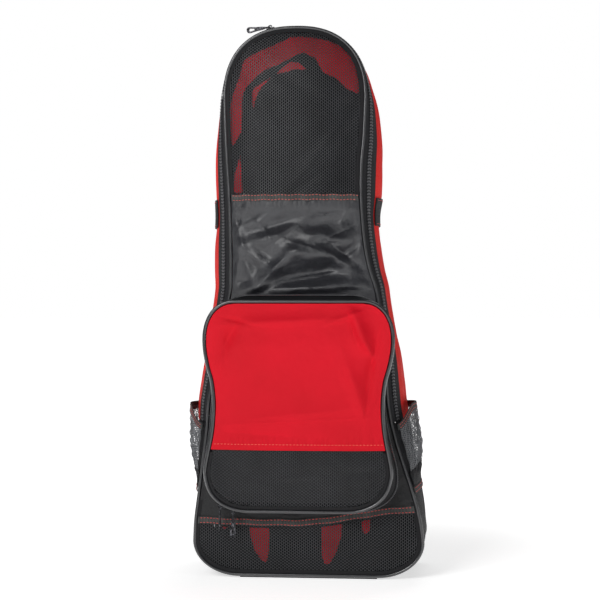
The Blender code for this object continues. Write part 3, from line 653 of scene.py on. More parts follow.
# Corners of the red shapes, millimetres from the middle of the front and above the ground
WINDOW_CRESCENT = (
    (-92, 574), (-96, 592), (-96, 622), (-92, 641), (-82, 668), (-77, 688), (-62, 698), (-45, 705),
    (-24, 714), (-14, 719), (1, 720), (18, 718), (37, 714), (52, 707), (67, 692), (73, 678), (77, 659),
    (78, 642), (62, 649), (47, 663), (30, 671), (20, 690), (3, 698), (-14, 690), (-31, 681), (-45, 676),
    (-58, 666), (-72, 653), (-79, 641), (-78, 622), (-79, 593), (-87, 580),
)
WINDOW_SPIKE = ((-63, 650), (-53, 656), (-38, 666), (-52, 651), (-59, 639), (-63, 622), (-65, 639))
WINDOW_WEDGE = ((-81, 561), (-79, 541), (-77, 511), (-90, 511), (-88, 537))
WINDOW_TAB = ((-31, 669), (-24, 678), (-14, 685), (-2, 684), (9, 674), (-7, 675), (-18, 672))
WINDOW_RED = (WINDOW_CRESCENT, WINDOW_SPIKE, WINDOW_WEDGE, WINDOW_TAB)


def inside_depth(x, z, corners):
    """Millimetres from a place to the edge of a shape: positive inside, negative outside."""
    px, pz = x * 1000, z * 1000
    nearest = 1e9
    inside = False
    for (ax, az), (bx, bz) in zip(corners, corners[1:] + corners[:1]):
        along = ((px - ax) * (bx - ax) + (pz - az) * (bz - az)) / ((bx - ax) ** 2 + (bz - az) ** 2)
        along = min(max(along, 0.0), 1.0)
        nearest = min(nearest, math.hypot(px - ax - along * (bx - ax), pz - az - along * (bz - az)))
        if (az > pz) != (bz > pz) and px < ax + (pz - az) * (bx - ax) / (bz - az):
            inside = not inside
    return nearest if inside else -nearest


def cloth(name, across, along, place, thick, ring=False, mark=None):
    """A sheet of cloth laid out by place(across, along), its UV map in metres, thickened to a closed body."""
    grid, wide, long = laid_out(across, along, place)
    across_run = np.concatenate([np.zeros((len(along), 1)), np.cumsum(wide, axis=1)], axis=1)
    across_run -= across_run[:, -1:] / 2
    along_run = np.concatenate([np.zeros((1, len(across))), np.cumsum(long, axis=0)], axis=0)
    chart = np.stack([across_run, along_run], axis=2).reshape(-1, 2)
    points = grid.reshape(-1, 3)
    piece = from_mesh(name, points, grid_faces(len(along), len(across), wrap_columns=ring), chart)
    if mark:
        layer = piece.data.attributes.new("red", "FLOAT", "POINT")
        layer.data.foreach_set("value", [mark(x, z) for x, y, z in points])
    thicken(piece, thick)
    return piece


def sheet(name, look, node, across, along, place, thick, under="piping_front", ring=False, mark=None):
    """A sewn-in sheet of cloth: made and settled; the size that it was cut to is worked out but not used."""
    piece = cloth(name, across, along, place, thick, ring, mark)
    settle(piece, look, [node])
    flat, area = cut_size(across + [1.0] if ring else across, along, place)


def weave(look, at, pitch):
    """Height of a plain weave from 0 to 1, its threads one pitch apart."""
    x, y, _ = look.split(at)
    across = look.math("SINE", x * (math.pi / pitch))
    up = look.math("SINE", y * (math.pi / pitch))
    over = look.math("GREATER_THAN", across * up, 0.0)
    return over * abs(up) + (1 - over) * abs(across)


def window_lining_place(u, z):
    back = 0.0014 + 0.0046 * ease((z - NYLON_TOP) / 0.05)
    back += 0.0008 * math.sin(u * 7 + z * 60) * ease((z - NYLON_TOP) / 0.05) * (1 - u * u)
    return front_place(u, z, lift=-back, inset=LINING_SEAM)


def window_red(x, z):
    return max(inside_depth(x, z, shape) for shape in WINDOW_RED)


lining = Look("lining_dark", (20, 20, 23), 0.85, {"Specular IOR Level": 0.2})
cloth_way = lining.along_cloth()
space = lining.in_space()
red_mark = lining.node("ShaderNodeAttribute", {"attribute_name": "red"}, output=2)
ragged = red_mark + 2.0 * lining.noise(space, 180.0) - 1.0
shade = lining.noise(space, 32.0, 3.0)
red = lining.tones(shade, (160, 6, 22), (236, 14, 42))
dark = lining.tones(shade, (8, 8, 9), (18, 18, 20))
lining.vary("Base Color", lining.mix(lining.step(ragged, -0.8, 1.0), dark, red))
lining.vary("Roughness", 0.70 + 0.25 * shade)
lining.vary("Normal", lining.bump(weave(lining, cloth_way, 0.0005), 0.00012, lining.bump(shade, 0.004)))

across = steps(-1, 1, 84)
along = steps(0.694 * HEIGHT, ARCH_START, 70)[:-1]
along += [arch_height(math.radians(angle), LINING_SEAM) for angle in steps(4, 84, 40)]
node, place = "window_lining", window_lining_place
sheet("lining_window", lining, node, across, along, place, LINING_THICK, mark=window_red)


# Ribbon under the net window
# Black ribbed ribbon over the seam between net and nylon, sewn down with two rows of rust-coloured thread.
BAND = 0.009
STITCH_PITCH = 0.0046
STITCH_LONG = 0.0033
STITCH_THICK = 0.00042
STITCH_LIFT = 0.00062
RIBBON_THICK = 0.0009
RIB_PITCH = 0.0042
# Where a ribbon's two rows of thread run, in shares of its half width
THREAD_ROWS = (-0.66, 0.66)


def window_band_place(u, row):
    z = NYLON_TOP + row * BAND / 2
    lift = CLOTH / 2 + GAP + 0.0005 + 0.00025 * math.sin(u * 41 + row) + 0.0004 * (1 - row * row)
    return front_place(u, z + 0.0004 * math.sin(u * 23), lift=lift, inset=NET_EDGE + 0.0006)


def runs_of(line, pitch):
    """Points one pitch apart along a line of points, each with the way ahead."""
    found = []
    left = pitch / 2
    for start, end in zip(line, line[1:]):
        length = (end - start).length
        if length < 1e-9:
            continue
        while left <= length:
            found.append((start.lerp(end, left / length), (end - start) / length))
            left += pitch
        left -= length
    return found


def copies(name, template, places):
    """Many copies of a small template in one mesh, each at a turn and place of its own."""
    spots = np.array([[*vert.co, 1.0] for vert in template.data.vertices])
    shape = [list(face.vertices) for face in template.data.polygons]
    points = np.concatenate([spots @ np.array(place.transposed()) for place in places])[:, :3]
    faces = [[corner + k * len(spots) for corner in face] for k in range(len(places)) for face in shape]
    bpy.data.objects.remove(template, do_unlink=True)
    return from_mesh(name, points, faces)


def turned(spot, ahead, outward, tilt=0.0):
    """Place and turn of a copy: its X runs ahead and its Z outward."""
    aside = outward.cross(ahead).normalized()
    up = ahead.cross(aside).normalized()
    turn = Matrix((ahead, aside, up)).transposed().to_4x4()
    return Matrix.Translation(spot) @ turn @ Matrix.Rotation(tilt, 4, "Z")


def stitches(name, rows, look, outward=Vector((0, -1, 0))):
    """Rows of thread: one short rounded stitch, repeated along each line of points."""
    bpy.ops.object.select_all(action="DESELECT")
    bpy.ops.mesh.primitive_uv_sphere_add(segments=6, ring_count=4, radius=1.0)
    stitch = bpy.context.object
    bpy.ops.object.mode_set(mode="EDIT")
    bpy.ops.transform.rotate(value=math.radians(90), orient_axis="Y", center_override=(0, 0, 0))
    bpy.ops.transform.resize(value=(STITCH_LONG / 2, STITCH_THICK, STITCH_THICK))
    bpy.ops.object.mode_set(mode="OBJECT")
    places = []
    for line in rows:
        for index, (spot, ahead) in enumerate(runs_of(line, STITCH_PITCH)):
            places.append(turned(spot, ahead, outward, 0.10 * math.sin(index * 2.3)))
    settle(copies(name, stitch, places), look, [], smooth=80)


def sewing_thread(name, even_tone, low, high):
    """Finish of a twisted thread."""
    made = Look(name, even_tone, 0.55, {"Sheen Weight": 0.3})
    twist = made.noise(made.in_space(), 900.0)
    made.vary("Base Color", made.tones(twist, low, high))
    made.vary("Normal", made.bump(twist, 0.0002))
    return made


ribbon = Look("ribbon_ribbed", (38, 38, 41), 0.72, {"Specular IOR Level": 0.35})
cloth_way = ribbon.along_cloth()
x, y, _ = ribbon.split(cloth_way)
ribs = abs(ribbon.math("SINE", x * (math.pi / RIB_PITCH)))
worn = ribbon.noise(ribbon.in_space(), 70.0, 3.0)
ribbon.vary("Base Color", ribbon.tones(worn * (0.6 + 0.4 * ribs), (10, 10, 11), (88, 90, 88)))
ribbon.vary("Roughness", 0.58 + 0.3 * worn)
ribbon.vary("Normal", ribbon.bump(ribs, 0.00018, ribbon.bump(worn, 0.0006)))

rust = sewing_thread("thread_rust", (150, 70, 62), (168, 52, 46), (226, 88, 72))
crimson = sewing_thread("thread_red", (190, 34, 34), (176, 24, 28), (240, 62, 52))

across = steps(-1, 1, 120)
along = steps(-1, 1, 6)
place = window_band_place
sheet("band_window", ribbon, "window_band", across, along, place, RIBBON_THICK)
rows = []
for row in THREAD_ROWS:
    rows.append([place(u, row) - Vector((0, STITCH_LIFT, 0)) for u in steps(-0.99, 0.99, 160)])
stitches("stitches_window", rows, rust)


# Nylon below the window
# Coated black nylon with a strong shine, cut too full, so it lies in sharp creases and long hollows between
# the window's ribbon and the pocket. Behind the pocket and down to the foot it is taut, rougher and without
# coat, and its colour is painted darker there as shade from the pocket.
POCKET_HIGH = 0.498 * HEIGHT
NYLON_FOOT = 0.102 * HEIGHT
NYLON_LOW = 0.197 * HEIGHT
NYLON_WEAVE = 0.00045
FOLDS = (
    (-0.22, 0.553, 40, 0.34, 0.070, 0.060),
    (0.14, 0.549, 9, 0.34, 0.080, -0.085),
    (0.06, 0.584, -14, 0.26, 0.075, 0.050),
    (0.30, 0.574, -32, 0.19, 0.050, 0.044),
    (0.42, 0.590, 36, 0.26, 0.050, -0.050),
    (0.14, 0.521, 5, 0.42, 0.055, 0.055),
    (-0.49, 0.585, -74, 0.30, 0.040, 0.026),
    (-0.36, 0.578, -40, 0.17, 0.045, 0.026),
    (0.22, 0.640, 10, 0.22, 0.075, -0.050),
    (0.26, 0.612, -12, 0.24, 0.055, 0.036),
    (-0.16, 0.640, 20, 0.26, 0.075, -0.040),
    (-0.28, 0.612, 14, 0.24, 0.060, 0.034),
    (-0.42, 0.652, 20, 0.14, 0.045, -0.022),
)
SMALL_FOLD_HEIGHT = 1.1
SMALL_FOLDS = (
    (-0.55, 0.557, 79, 0.20, 0.020, 0.016),
    (-0.39, 0.577, -35, 0.10, 0.018, 0.014),
    (-0.43, 0.566, -28, 0.09, 0.022, -0.014),
    (-0.50, 0.534, 12, 0.06, 0.022, -0.014),
    (-0.40, 0.517, 30, 0.10, 0.018, 0.016),
    (-0.23, 0.552, 46, 0.13, 0.020, 0.018),
    (-0.31, 0.515, 28, 0.10, 0.026, -0.018),
    (0.30, 0.580, -34, 0.14, 0.018, 0.018),
    (0.36, 0.588, -38, 0.15, 0.018, -0.014),
    (0.10, 0.543, 10, 0.30, 0.018, 0.014),
    (0.29, 0.604, 2, 0.10, 0.016, -0.014),
    (-0.54, 0.645, 86, 0.05, 0.018, -0.012),
    (0.19, 0.655, 5, 0.20, 0.018, -0.014),
    (0.44, 0.519, -5, 0.13, 0.020, -0.014),
    (0.33, 0.619, 28, 0.17, 0.018, -0.016),
    (0.02, 0.600, -18, 0.14, 0.016, 0.010),
    (-0.16, 0.612, 32, 0.16, 0.016, -0.010),
    (-0.30, 0.625, -52, 0.12, 0.016, 0.010),
    (0.08, 0.670, 84, 0.05, 0.016, 0.010),
    (-0.10, 0.668, 96, 0.05, 0.016, -0.010),
    (0.40, 0.655, 60, 0.09, 0.018, 0.012),
)


def base_line(x):
    """Height of the ribbon at the foot: it climbs to the right."""
    return 0.1027 * HEIGHT + 0.112 * HALF * ease((x / HALF + 0.066) / 1.12)


def fold_room(x, z):
    """1 where the nylon lies free in folds, 0 at its seams and behind the pocket."""
    off = abs(x - sway_at(z)) / half_at(z)
    below = ease((NYLON_TOP - 0.006 - z) / 0.014)
    above = ease((z - POCKET_HIGH - 0.008) / 0.012)
    return below * above * ease((0.97 - off) / 0.12)


def nylon_place(u, row):
    z = row
    if row < NYLON_LOW:
        share = (NYLON_LOW - row) / (NYLON_LOW - NYLON_FOOT)
        x = sway_at(CORNER_TOP) + u * HALF
        z = NYLON_LOW + (base_line(x) + GAP / 2 - NYLON_LOW) * share
    point = front_place(u, z, inset=NET_EDGE)
    room = fold_room(point.x, point.z)
    point.y -= fold_height(point.x, point.z, FOLDS) * room
    point.y -= SMALL_FOLD_HEIGHT * fold_height(point.x, point.z, SMALL_FOLDS, sharp=1.3) * room
    pucker = ease((NYLON_TOP - z) / 0.006) * ease((z - NYLON_TOP + 0.020) / 0.016)
    point.y -= 0.00045 * math.sin(point.x * 760 + 2 * math.sin(point.x * 210)) * pucker
    behind = ease((NYLON_LOW + 0.02 - z) / 0.04) * (1 - u * u)
    point.y -= 0.0004 * math.sin(point.x * 95 + point.z * 60) * behind
    return point


nylon = Look("nylon_coated", (34, 34, 38), 0.34, {"Coat Roughness": 0.28})
cloth_way = nylon.along_cloth()
space = nylon.in_space()
cloud = nylon.noise(space, 14.0, 3.0)
crumple = nylon.noise(space, 70.0, 4.0)
facet_inputs = {"Vector": space, "Scale": 36.0, "Smoothness": 0.25}
facets = nylon.node("ShaderNodeTexVoronoi", {"feature": "SMOOTH_F1"}, facet_inputs)
threads = weave(nylon, cloth_way, NYLON_WEAVE)
x, y, z = nylon.split(space)
# Above the pocket's top the nylon keeps its coat. Below it the nylon is rougher and has no coat, and its
# colour is painted darker as shade from the pocket.
coated_and_unshaded = nylon.step(z, POCKET_HIGH - 0.02, POCKET_HIGH)
shade = cloud * 0.7 + threads * 0.3
shiny = nylon.tones(shade, (15, 15, 18), (50, 51, 56))
pocket_shade_tone = nylon.tones(shade, (7, 7, 8), (22, 22, 25))
nylon.vary("Base Color", nylon.mix(coated_and_unshaded, pocket_shade_tone, shiny))
nylon.vary("Roughness", 0.48 - 0.22 * coated_and_unshaded + 0.16 * cloud + 0.06 * threads)
nylon.vary("Coat Weight", 0.35 * coated_and_unshaded)
nylon.vary("Normal", nylon.bump(threads, 0.00005, nylon.bump(crumple + 1.6 * facets, 0.0026)))

matt = Look("nylon_matt", (24, 24, 27), 0.62, {"Specular IOR Level": 0.25})
cloud = matt.noise(matt.in_space(), 18.0, 3.0)
threads = weave(matt, matt.along_cloth(), NYLON_WEAVE)
matt.vary("Base Color", matt.tones(cloud * 0.7 + threads * 0.3, (8, 8, 10), (30, 30, 34)))
matt.vary("Roughness", 0.52 + 0.16 * cloud + 0.08 * threads)
matt.vary("Normal", matt.bump(threads, 0.00007, matt.bump(matt.noise(matt.in_space(), 60.0, 3.0), 0.0016)))

across = steps(-1, 1, 110)
along = [NYLON_FOOT, 0.150 * HEIGHT, NYLON_LOW] + steps(0.22 * HEIGHT, POCKET_HIGH, 14)
along += steps(POCKET_HIGH + 0.0015, NYLON_TOP - 0.0015, 92) + [NYLON_TOP - GAP / 2]
sheet("nylon_front", nylon, "front_nylon", across, along, nylon_place, CLOTH)


# Net, lining and ribbon at the foot
# The same net closes the foot of the front, before a dark lining on which red cloth hangs in pointed tongues.
# A stitched ribbon covers its upper seam and climbs to the right.
BASE_TONGUES = (
    ((-66, 82), (-40, 82), (-38, 60), (-40, 36), (-44, 20), (-50, 22), (-58, 34), (-64, 56)),
    ((31, 86), (59, 88), (57, 60), (50, 36), (40, 19), (33, 19), (30, 34), (31, 60)),
    ((-102, 80), (-93, 80), (-95, 66), (-101, 64)),
    ((82, 94), (96, 96), (94, 66), (89, 60), (84, 66)),
)


def base_net_spot(x, z):
    free = ease((base_line(x) - z) / 0.02) * ease((z - 0.008) / 0.02)
    return Vector((x, front_surface(x, z) - 0.0006 * math.sin(x * 60) * math.sin(z * 70) * free, z))


def in_base(x, z):
    if not FLOOR_LIFT + NET_EDGE + 0.001 < z < base_line(x) - 0.0008:
        return False
    return abs(x - sway_at(z)) < half_at(z, NET_EDGE + 0.0016)


def base_net_place(u, row):
    x = sway_at(CORNER_TOP) + u * HALF
    z = FLOOR_LIFT + NET_EDGE + 0.0002 + (base_line(x) - GAP / 2 - FLOOR_LIFT - NET_EDGE - 0.0002) * row
    return front_place(u, z, inset=NET_EDGE + 0.0005)


def base_lining_place(u, row):
    x = sway_at(CORNER_TOP) + u * HALF
    z = 0.20 * CORNER_TOP + (base_line(x) - 0.008 - 0.20 * CORNER_TOP) * row
    return front_place(u, z, lift=-0.0020 - 0.0040 * (1 - row), inset=NET_EDGE + 0.003)


def base_band_place(u, row):
    x = sway_at(CORNER_TOP) + u * HALF
    z = base_line(x) + row * BAND / 2 + 0.0004 * math.sin(u * 19)
    lift = CLOTH / 2 + GAP + 0.0006 + 0.00025 * math.sin(u * 37 + row) + 0.0004 * (1 - row * row)
    return front_place(u, z, lift=lift, inset=NET_EDGE + 0.0008)


def base_red(x, z):
    return max(inside_depth(x, z, shape) for shape in BASE_TONGUES)


foot_net = net("net_base", base_net_spot, in_base, (-0.15, 0.17, 0.0, 0.105), NET_THICK)
corners = [start + 0.2 * k / 60 for start in (0.80, -1.0) for k in range(61)]
bind(foot_net, corners, outline, PIPE, base_net_spot)
place = base_net_place
net_sheet(foot_net, (netting, binding_and_seam_shade), "base_mesh", steps(-1, 1, 30), steps(0, 1, 8), place)

across = steps(-1, 1, 130)
along = steps(0, 1, 36)
place = base_lining_place
sheet("lining_base", lining, "base_lining", across, along, place, LINING_THICK, mark=base_red)
across = steps(-1, 1, 150)
along = steps(-1, 1, 6)
place = base_band_place
sheet("band_base", ribbon, "base_band", across, along, place, RIBBON_THICK)
rows = []
for row in THREAD_ROWS:
    rows.append([place(u, row) - Vector((0, STITCH_LIFT, 0)) for u in steps(-0.985, 0.985, 200)])
stitches("stitches_base", rows, crimson)


# Zip over the arch
# Woven black tape with a herringbone, sewn between the piping and the red side. Its coil shows as two rows of
# slanted nylon teeth, with a shallow groove in the tape on both sides of them.
TAPE = 0.032
COIL_START = 0.0100
COIL = 0.009
COIL_THICK = 0.0016
START = PIPE + SEAM_GAP + 0.0002
TAPE_END = START + TAPE
SIDE_BREAK = 0.279 * HEIGHT
TOOTH_PITCH = 0.0042

# Share of HEIGHT, share of HALF: how far the side wall swells past its seams
SIDE_SWELL = (
    (0.000, 0.000),
    (0.060, 0.006),
    (0.105, 0.030),
    (0.160, 0.065),
    (0.220, 0.110),
    (0.290, 0.142),
    (0.500, 0.150),
    (0.700, 0.150),
    (0.766, 0.140),
    (0.823, 0.103),
    (0.852, 0.080),
    (0.896, 0.034),
    (0.930, 0.016),
    (1.010, 0.008),
)
# Share of HEIGHT, shares of HALF: what the left and the right side add to that swell
SIDE_LEAN = (
    (0.340, 0.000, 0.000),
    (0.400, 0.016, -0.024),
    (0.436, 0.028, -0.048),
    (0.501, 0.034, -0.066),
    (0.592, 0.044, -0.038),
    (0.653, 0.014, -0.036),
    (0.695, 0.014, 0.006),
    (0.773, 0.002, 0.018),
    (0.845, 0.004, 0.012),
    (0.881, 0.004, 0.002),
    (0.930, 0.000, 0.000),
)


@functools.lru_cache(maxsize=None)
def side_profile(t):
    """Points (back, out) of the side wall's section from the front seam to the back seam, and its length."""
    z = outline(t)[1]
    deep = back_at(z) - front_at(z)
    lean = between(z / HEIGHT, SIDE_LEAN, 1 if t < 0 else 2)
    swell = HALF * (between(z / HEIGHT, SIDE_SWELL, 1) + lean)
    points = [(deep * k / 48, swell * math.sin(math.pi * k / 48) ** 0.75) for k in range(49)]
    return points, sum(math.dist(points[k], points[k + 1]) for k in range(48))


@functools.lru_cache(maxsize=None)
def outward(t):
    """Unit direction square to the outline, away from the bag."""
    x_before, z_before = outline(max(t - 0.004, -1.0))
    x_after, z_after = outline(min(t + 0.004, 1.0))
    length = math.hypot(x_after - x_before, z_after - z_before)
    return (z_before - z_after) / length, (x_after - x_before) / length


def side_length(t):
    return side_profile(t)[1]


def side_place(t, a, lift=0.0):
    """Point on the side wall: a metres back from the front seam."""
    points = side_profile(t)[0]
    left = a
    index = 0
    while index < 47 and left > math.dist(points[index], points[index + 1]):
        left -= math.dist(points[index], points[index + 1])
        index += 1
    start, end = points[index], points[index + 1]
    length = math.dist(start, end)
    back_step = (end[0] - start[0]) / length
    out_step = (end[1] - start[1]) / length
    back = start[0] + back_step * left - out_step * lift
    out = start[1] + out_step * left + back_step * lift
    x, z = outline(t)
    nx, nz = outward(t)
    return Vector((x + nx * out, front_at(z) + back, z + nz * out))


def frame_on(place, p, q, step_p, step_q):
    """Point of a surface laid out by place(p, q), and the ways along and across it."""
    spot = place(p, q)
    along = (place(p + step_p, q) - place(p - step_p, q)).normalized()
    across = (place(p, q + step_q) - place(p, q - step_q)).normalized()
    return spot, along, across


def tape_place(t, a):
    groove = math.exp(-(((a - COIL_START + 0.0006) / 0.0006) ** 2))
    groove += math.exp(-(((a - COIL_START - COIL - 0.0006) / 0.0006) ** 2))
    return side_place(t, a, lift=-0.0004 * groove)


def teeth(name, stations, place, middle, wide, size, node):
    """Two rows of slanted teeth along stations of a surface: one bead of a size, mirrored across."""
    bpy.ops.object.select_all(action="DESELECT")
    bpy.ops.mesh.primitive_cube_add(size=1.0)
    bead = bpy.context.object
    bpy.ops.object.mode_set(mode="EDIT")
    bpy.ops.transform.resize(value=size)
    bpy.ops.mesh.bevel(offset=0.00042, segments=2, affect="EDGES")
    bpy.ops.object.mode_set(mode="OBJECT")
    places = []
    for p in stations:
        for hand in (-1, 1):
            spot, along, across = frame_on(place, p, middle + hand * wide * 0.25, 0.0015, wide * 0.05)
            out = across.cross(along).normalized()
            if out.dot(spot - Vector((0, 0, 0.35))) < 0:
                out = -out
            ahead = (across * hand + along * 0.55).normalized()
            places.append(turned(spot, ahead, out))
    settle(copies(name, bead, places), coil, [node], smooth=60)


def stations_of(place, middle, start, end, pitch):
    """Values of p one pitch apart along the surface line q = middle."""
    values = steps(start, end, 900)
    points = [place(p, middle) for p in values]
    run = np.concatenate([[0.0], np.cumsum([(b - a).length for a, b in zip(points, points[1:])])])
    return [float(p) for p in np.interp(np.arange(pitch / 2, run[-1], pitch), run, values)]


def herringbone(look, band, pitch):
    """Wave of a weave whose slant turns over from band to band."""
    x, y, _ = look.split(look.along_cloth())
    return look.math("SINE", (x + look.math("PINGPONG", y, band)) * (2 * math.pi / pitch))


tape = Look("zip_tape_woven", (40, 40, 44), 0.78, {"Specular IOR Level": 0.3})
arrow = herringbone(tape, 0.0016, 0.0011)
worn = tape.noise(tape.in_space(), 60.0, 3.0)
tape.vary("Base Color", tape.tones(worn * 0.7 + arrow * 0.15 + 0.1, (14, 14, 16), (46, 46, 50)))
tape.vary("Roughness", 0.66 + 0.2 * worn)
tape.vary("Normal", tape.bump(arrow, 0.00014))

coil = Look("coil_nylon", (46, 46, 49), 0.38, {"Coat Weight": 0.15, "Coat Roughness": 0.3})
space = coil.in_space()
coil.vary("Base Color", coil.tones(coil.noise(space, 260.0), (40, 40, 43), (104, 104, 108)))
coil.vary("Roughness", 0.30 + 0.2 * coil.noise(space, 700.0))

T_BREAK = t_at(SIDE_BREAK + GAP)
over = steps(-T_BREAK, -0.3, 120)[:-1] + steps(-0.3, 0.3, 110)[:-1] + steps(0.3, T_BREAK, 120)
along = steps(PIPE, COIL_START, 8)[:-1] + steps(COIL_START, COIL_START + COIL, 4)[:-1]
along += steps(COIL_START + COIL, TAPE_END, 14)
sheet("tape_arch", tape, "zip_tape", over, along, tape_place, CLOTH)


def coil_place(t, a):
    return side_place(t, a, lift=CLOTH / 2 + GAP + COIL_THICK / 2)


coil_middle = COIL_START + COIL / 2
stations = stations_of(coil_place, coil_middle, -T_BREAK, T_BREAK, TOOTH_PITCH)
bead = (COIL * 0.46, TOOTH_PITCH * 0.50, COIL_THICK * 0.80)
teeth("teeth_arch", stations, coil_place, coil_middle, COIL - 0.001, bead, "zip_coil")


# Red sides
# Red woven polyester from the zip tape to the back seam, one length over the arch. It is a little full,
# so upright creases run down beside the tape.
def red_side_place(t, share):
    low = TAPE_END + GAP
    edge = math.sin(math.pi * share)
    lift = 0.0012 * edge * math.sin(share * 21 + 3 * math.sin(t * 9)) * math.sin(t * 23 + share * 4)
    lift += 0.0010 * edge * math.exp(-(((share - 0.16 - 0.05 * math.sin(t * 17)) / 0.05) ** 2))
    return side_place(t, low + (side_length(t) - START - low) * share, lift=lift)


def red_cloth(name, low, high):
    """Red polyester in a plain weave, faded a little where it is rubbed."""
    made = Look(name, low, 0.6, {"Specular IOR Level": 0.15})
    threads = weave(made, made.along_cloth(), 0.00055)
    space = made.in_space()
    cloud = made.noise(space, 11.0, 3.0)
    made.vary("Base Color", made.tones(cloud * 0.75 + threads * 0.25, low, high))
    made.vary("Roughness", 0.46 + 0.14 * cloud + 0.08 * threads)
    made.vary("Normal", made.bump(threads, 0.00007, made.bump(made.noise(space, 48.0, 3.0), 0.0012)))
    return made


red_side = red_cloth("polyester_side", (190, 22, 22), (238, 46, 40))
sheet("side_red", red_side, "side_panel", over, steps(0, 1, 48), red_side_place, CLOTH)


# Webbing on the sides, black foot of the sides and flat bottom
# A doubled piece of webbing is sewn down with red thread on each side. Below the red, the sides are of black
# nylon, and a stiff coated board closes the bottom.
WEB_LOW = 0.635 * HEIGHT
WEB_HIGH = 0.687 * HEIGHT
WEBBING_THICK = 0.0016
SIDES = (("left", -1), ("right", 1))


def webbing_place(side, extra=0.0):
    def place(share, z):
        t = side * t_at(z)
        low = TAPE_END + 0.002
        a = low + (side_length(t) - START - 0.003 - low) * share
        rise = (z - WEB_LOW) / (WEB_HIGH - WEB_LOW)
        bulge = 0.0006 * math.sin(math.pi * share) ** 0.5 * math.sin(math.pi * rise) ** 0.5
        return side_place(t, a, lift=CLOTH / 2 + WEBBING_THICK / 2 + GAP + 0.0006 + bulge + extra)

    return place


def foot_place(side):
    def place(part, share):
        t = side * part
        lift = 0.0006 * math.sin(part * 60 + share * 5) * math.sin(math.pi * share)
        return side_place(t, START + (side_length(t) - 2 * START) * share, lift=lift)

    return place


belt = Look("webbing_woven", (34, 34, 37), 0.7, {"Specular IOR Level": 0.35})
twill = herringbone(belt, 0.0024, 0.0017)
worn = belt.noise(belt.in_space(), 80.0, 3.0)
belt.vary("Base Color", belt.tones(worn * 0.6 + twill * 0.2 + 0.15, (14, 14, 16), (52, 52, 56)))
belt.vary("Roughness", 0.58 + 0.25 * worn)
belt.vary("Normal", belt.bump(twill, 0.00025))

for word, side in SIDES:
    across, along = steps(0.001, 0.999, 40), steps(WEB_LOW + 0.0001, WEB_HIGH - 0.0001, 16)
    name, node, place = "webbing_" + word, "side_webbing_" + word, webbing_place(side)
    sheet(name, belt, node, across, along, place, WEBBING_THICK, "side_red")
    lay = webbing_place(side, WEBBING_THICK / 2 + 0.0001)
    heights = (WEB_LOW + 0.003, WEB_HIGH - 0.003)
    rows = [[lay(share, z) for share in steps(0.03, 0.97, 60)] for z in heights]
    stitches("stitches_webbing_" + word, rows, crimson, Vector((side, 0, 0)))
    across, along = steps(t_at(SIDE_BREAK - GAP), 0.85, 44)[:-1] + steps(0.85, 1.0, 18), steps(0, 1, 40)
    name, node, place = "foot_" + word, "base_side_" + word, foot_place(side)
    sheet(name, matt, node, across, along, place, CLOTH)


def refinish(look, names):
    """Gives solids of the frame a better finish."""
    for name in names:
        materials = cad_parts[name].data.materials
        materials.clear()
        materials.append(look.made)


board = Look("bottom_board", (26, 26, 29), 0.5, {"Coat Weight": 0.1})
grain = board.noise(board.in_space(), 900.0, 3.0)
board.vary("Base Color", board.tones(grain, (20, 20, 23), (44, 44, 48)))
board.vary("Roughness", 0.42 + 0.3 * board.noise(board.in_space(), 30.0))
board.vary("Normal", board.bump(grain, 0.0002))
refinish(board, ["bottom_panel"])


# Net pockets on the sides
# Fine crinkled grey net from the front seam to the back seam, open at the top under a stitched ribbon. Its
# foot is of black nylon, and a second ribbon with red thread covers the seam below it.
SIDE_POCKET_LOW = 0.1646 * HEIGHT
SIDE_POCKET_HIGH = 0.1224 * HEIGHT
SP_START = 0.007
HEM_SHARE = 0.10
FOOT_SHARE = 0.22
HEM_THICK = 0.001
SIDE_NET_THICK = 0.0005
SIDE_CELL = (0.0024, 0.0030)
CRINKLE = 0.0018


def pocket_top(a):
    return 0.2735 * HEIGHT + 0.0327 * HEIGHT * ease(a / 0.055)


def side_pocket_place(side, extra=0.0, crinkle=0.0):
    def place(share, row):
        guess = side * t_at(SIDE_POCKET_LOW + SIDE_POCKET_HIGH * row)
        a = SP_START + (side_length(guess) - 2 * SP_START) * share
        z = SIDE_POCKET_LOW + (pocket_top(a) - SIDE_POCKET_LOW) * row
        t = side * t_at(z)
        a = SP_START + (side_length(t) - 2 * SP_START) * share
        bow = math.sin(math.pi * share) ** 0.6 if 0 < share < 1 else 0.0
        stand = 0.0095 * bow * ease(row / 0.5)
        wave = math.sin(share * 47 + row * 9) * math.sin(row * 31 + share * 13)
        wave += 0.6 * math.sin(share * 90 - row * 23)
        stand += crinkle * wave * bow * ease(row / 0.2) * ease((1 - row) / 0.1)
        return side_place(t, a, lift=CLOTH + GAP + 0.0004 + stand + extra)

    return place


def side_foot_ribbon(side, extra=0.0):
    def place(share, row):
        t = side * t_at(SIDE_POCKET_LOW - GAP - 0.0085 + 0.008 * row)
        a = START + 0.001 + (side_length(t) - 2 * START - 0.002) * share
        return side_place(t, a, lift=CLOTH + GAP + 0.0003 + 0.0003 * math.sin(math.pi * row) + extra)

    return place


grey_net = Look("net_grey", (120, 122, 126), 0.5, {"Specular IOR Level": 0.4})
soft = grey_net.noise(grey_net.in_space(), 60.0, 3.0)
grey_net.vary("Base Color", grey_net.tones(soft, (60, 62, 64), (150, 152, 156)))
grey_net.vary("Roughness", 0.4 + 0.25 * soft)
grey_net.vary("Normal", grey_net.bump(grey_net.noise(grey_net.along_cloth(), 2600.0), 0.0001))

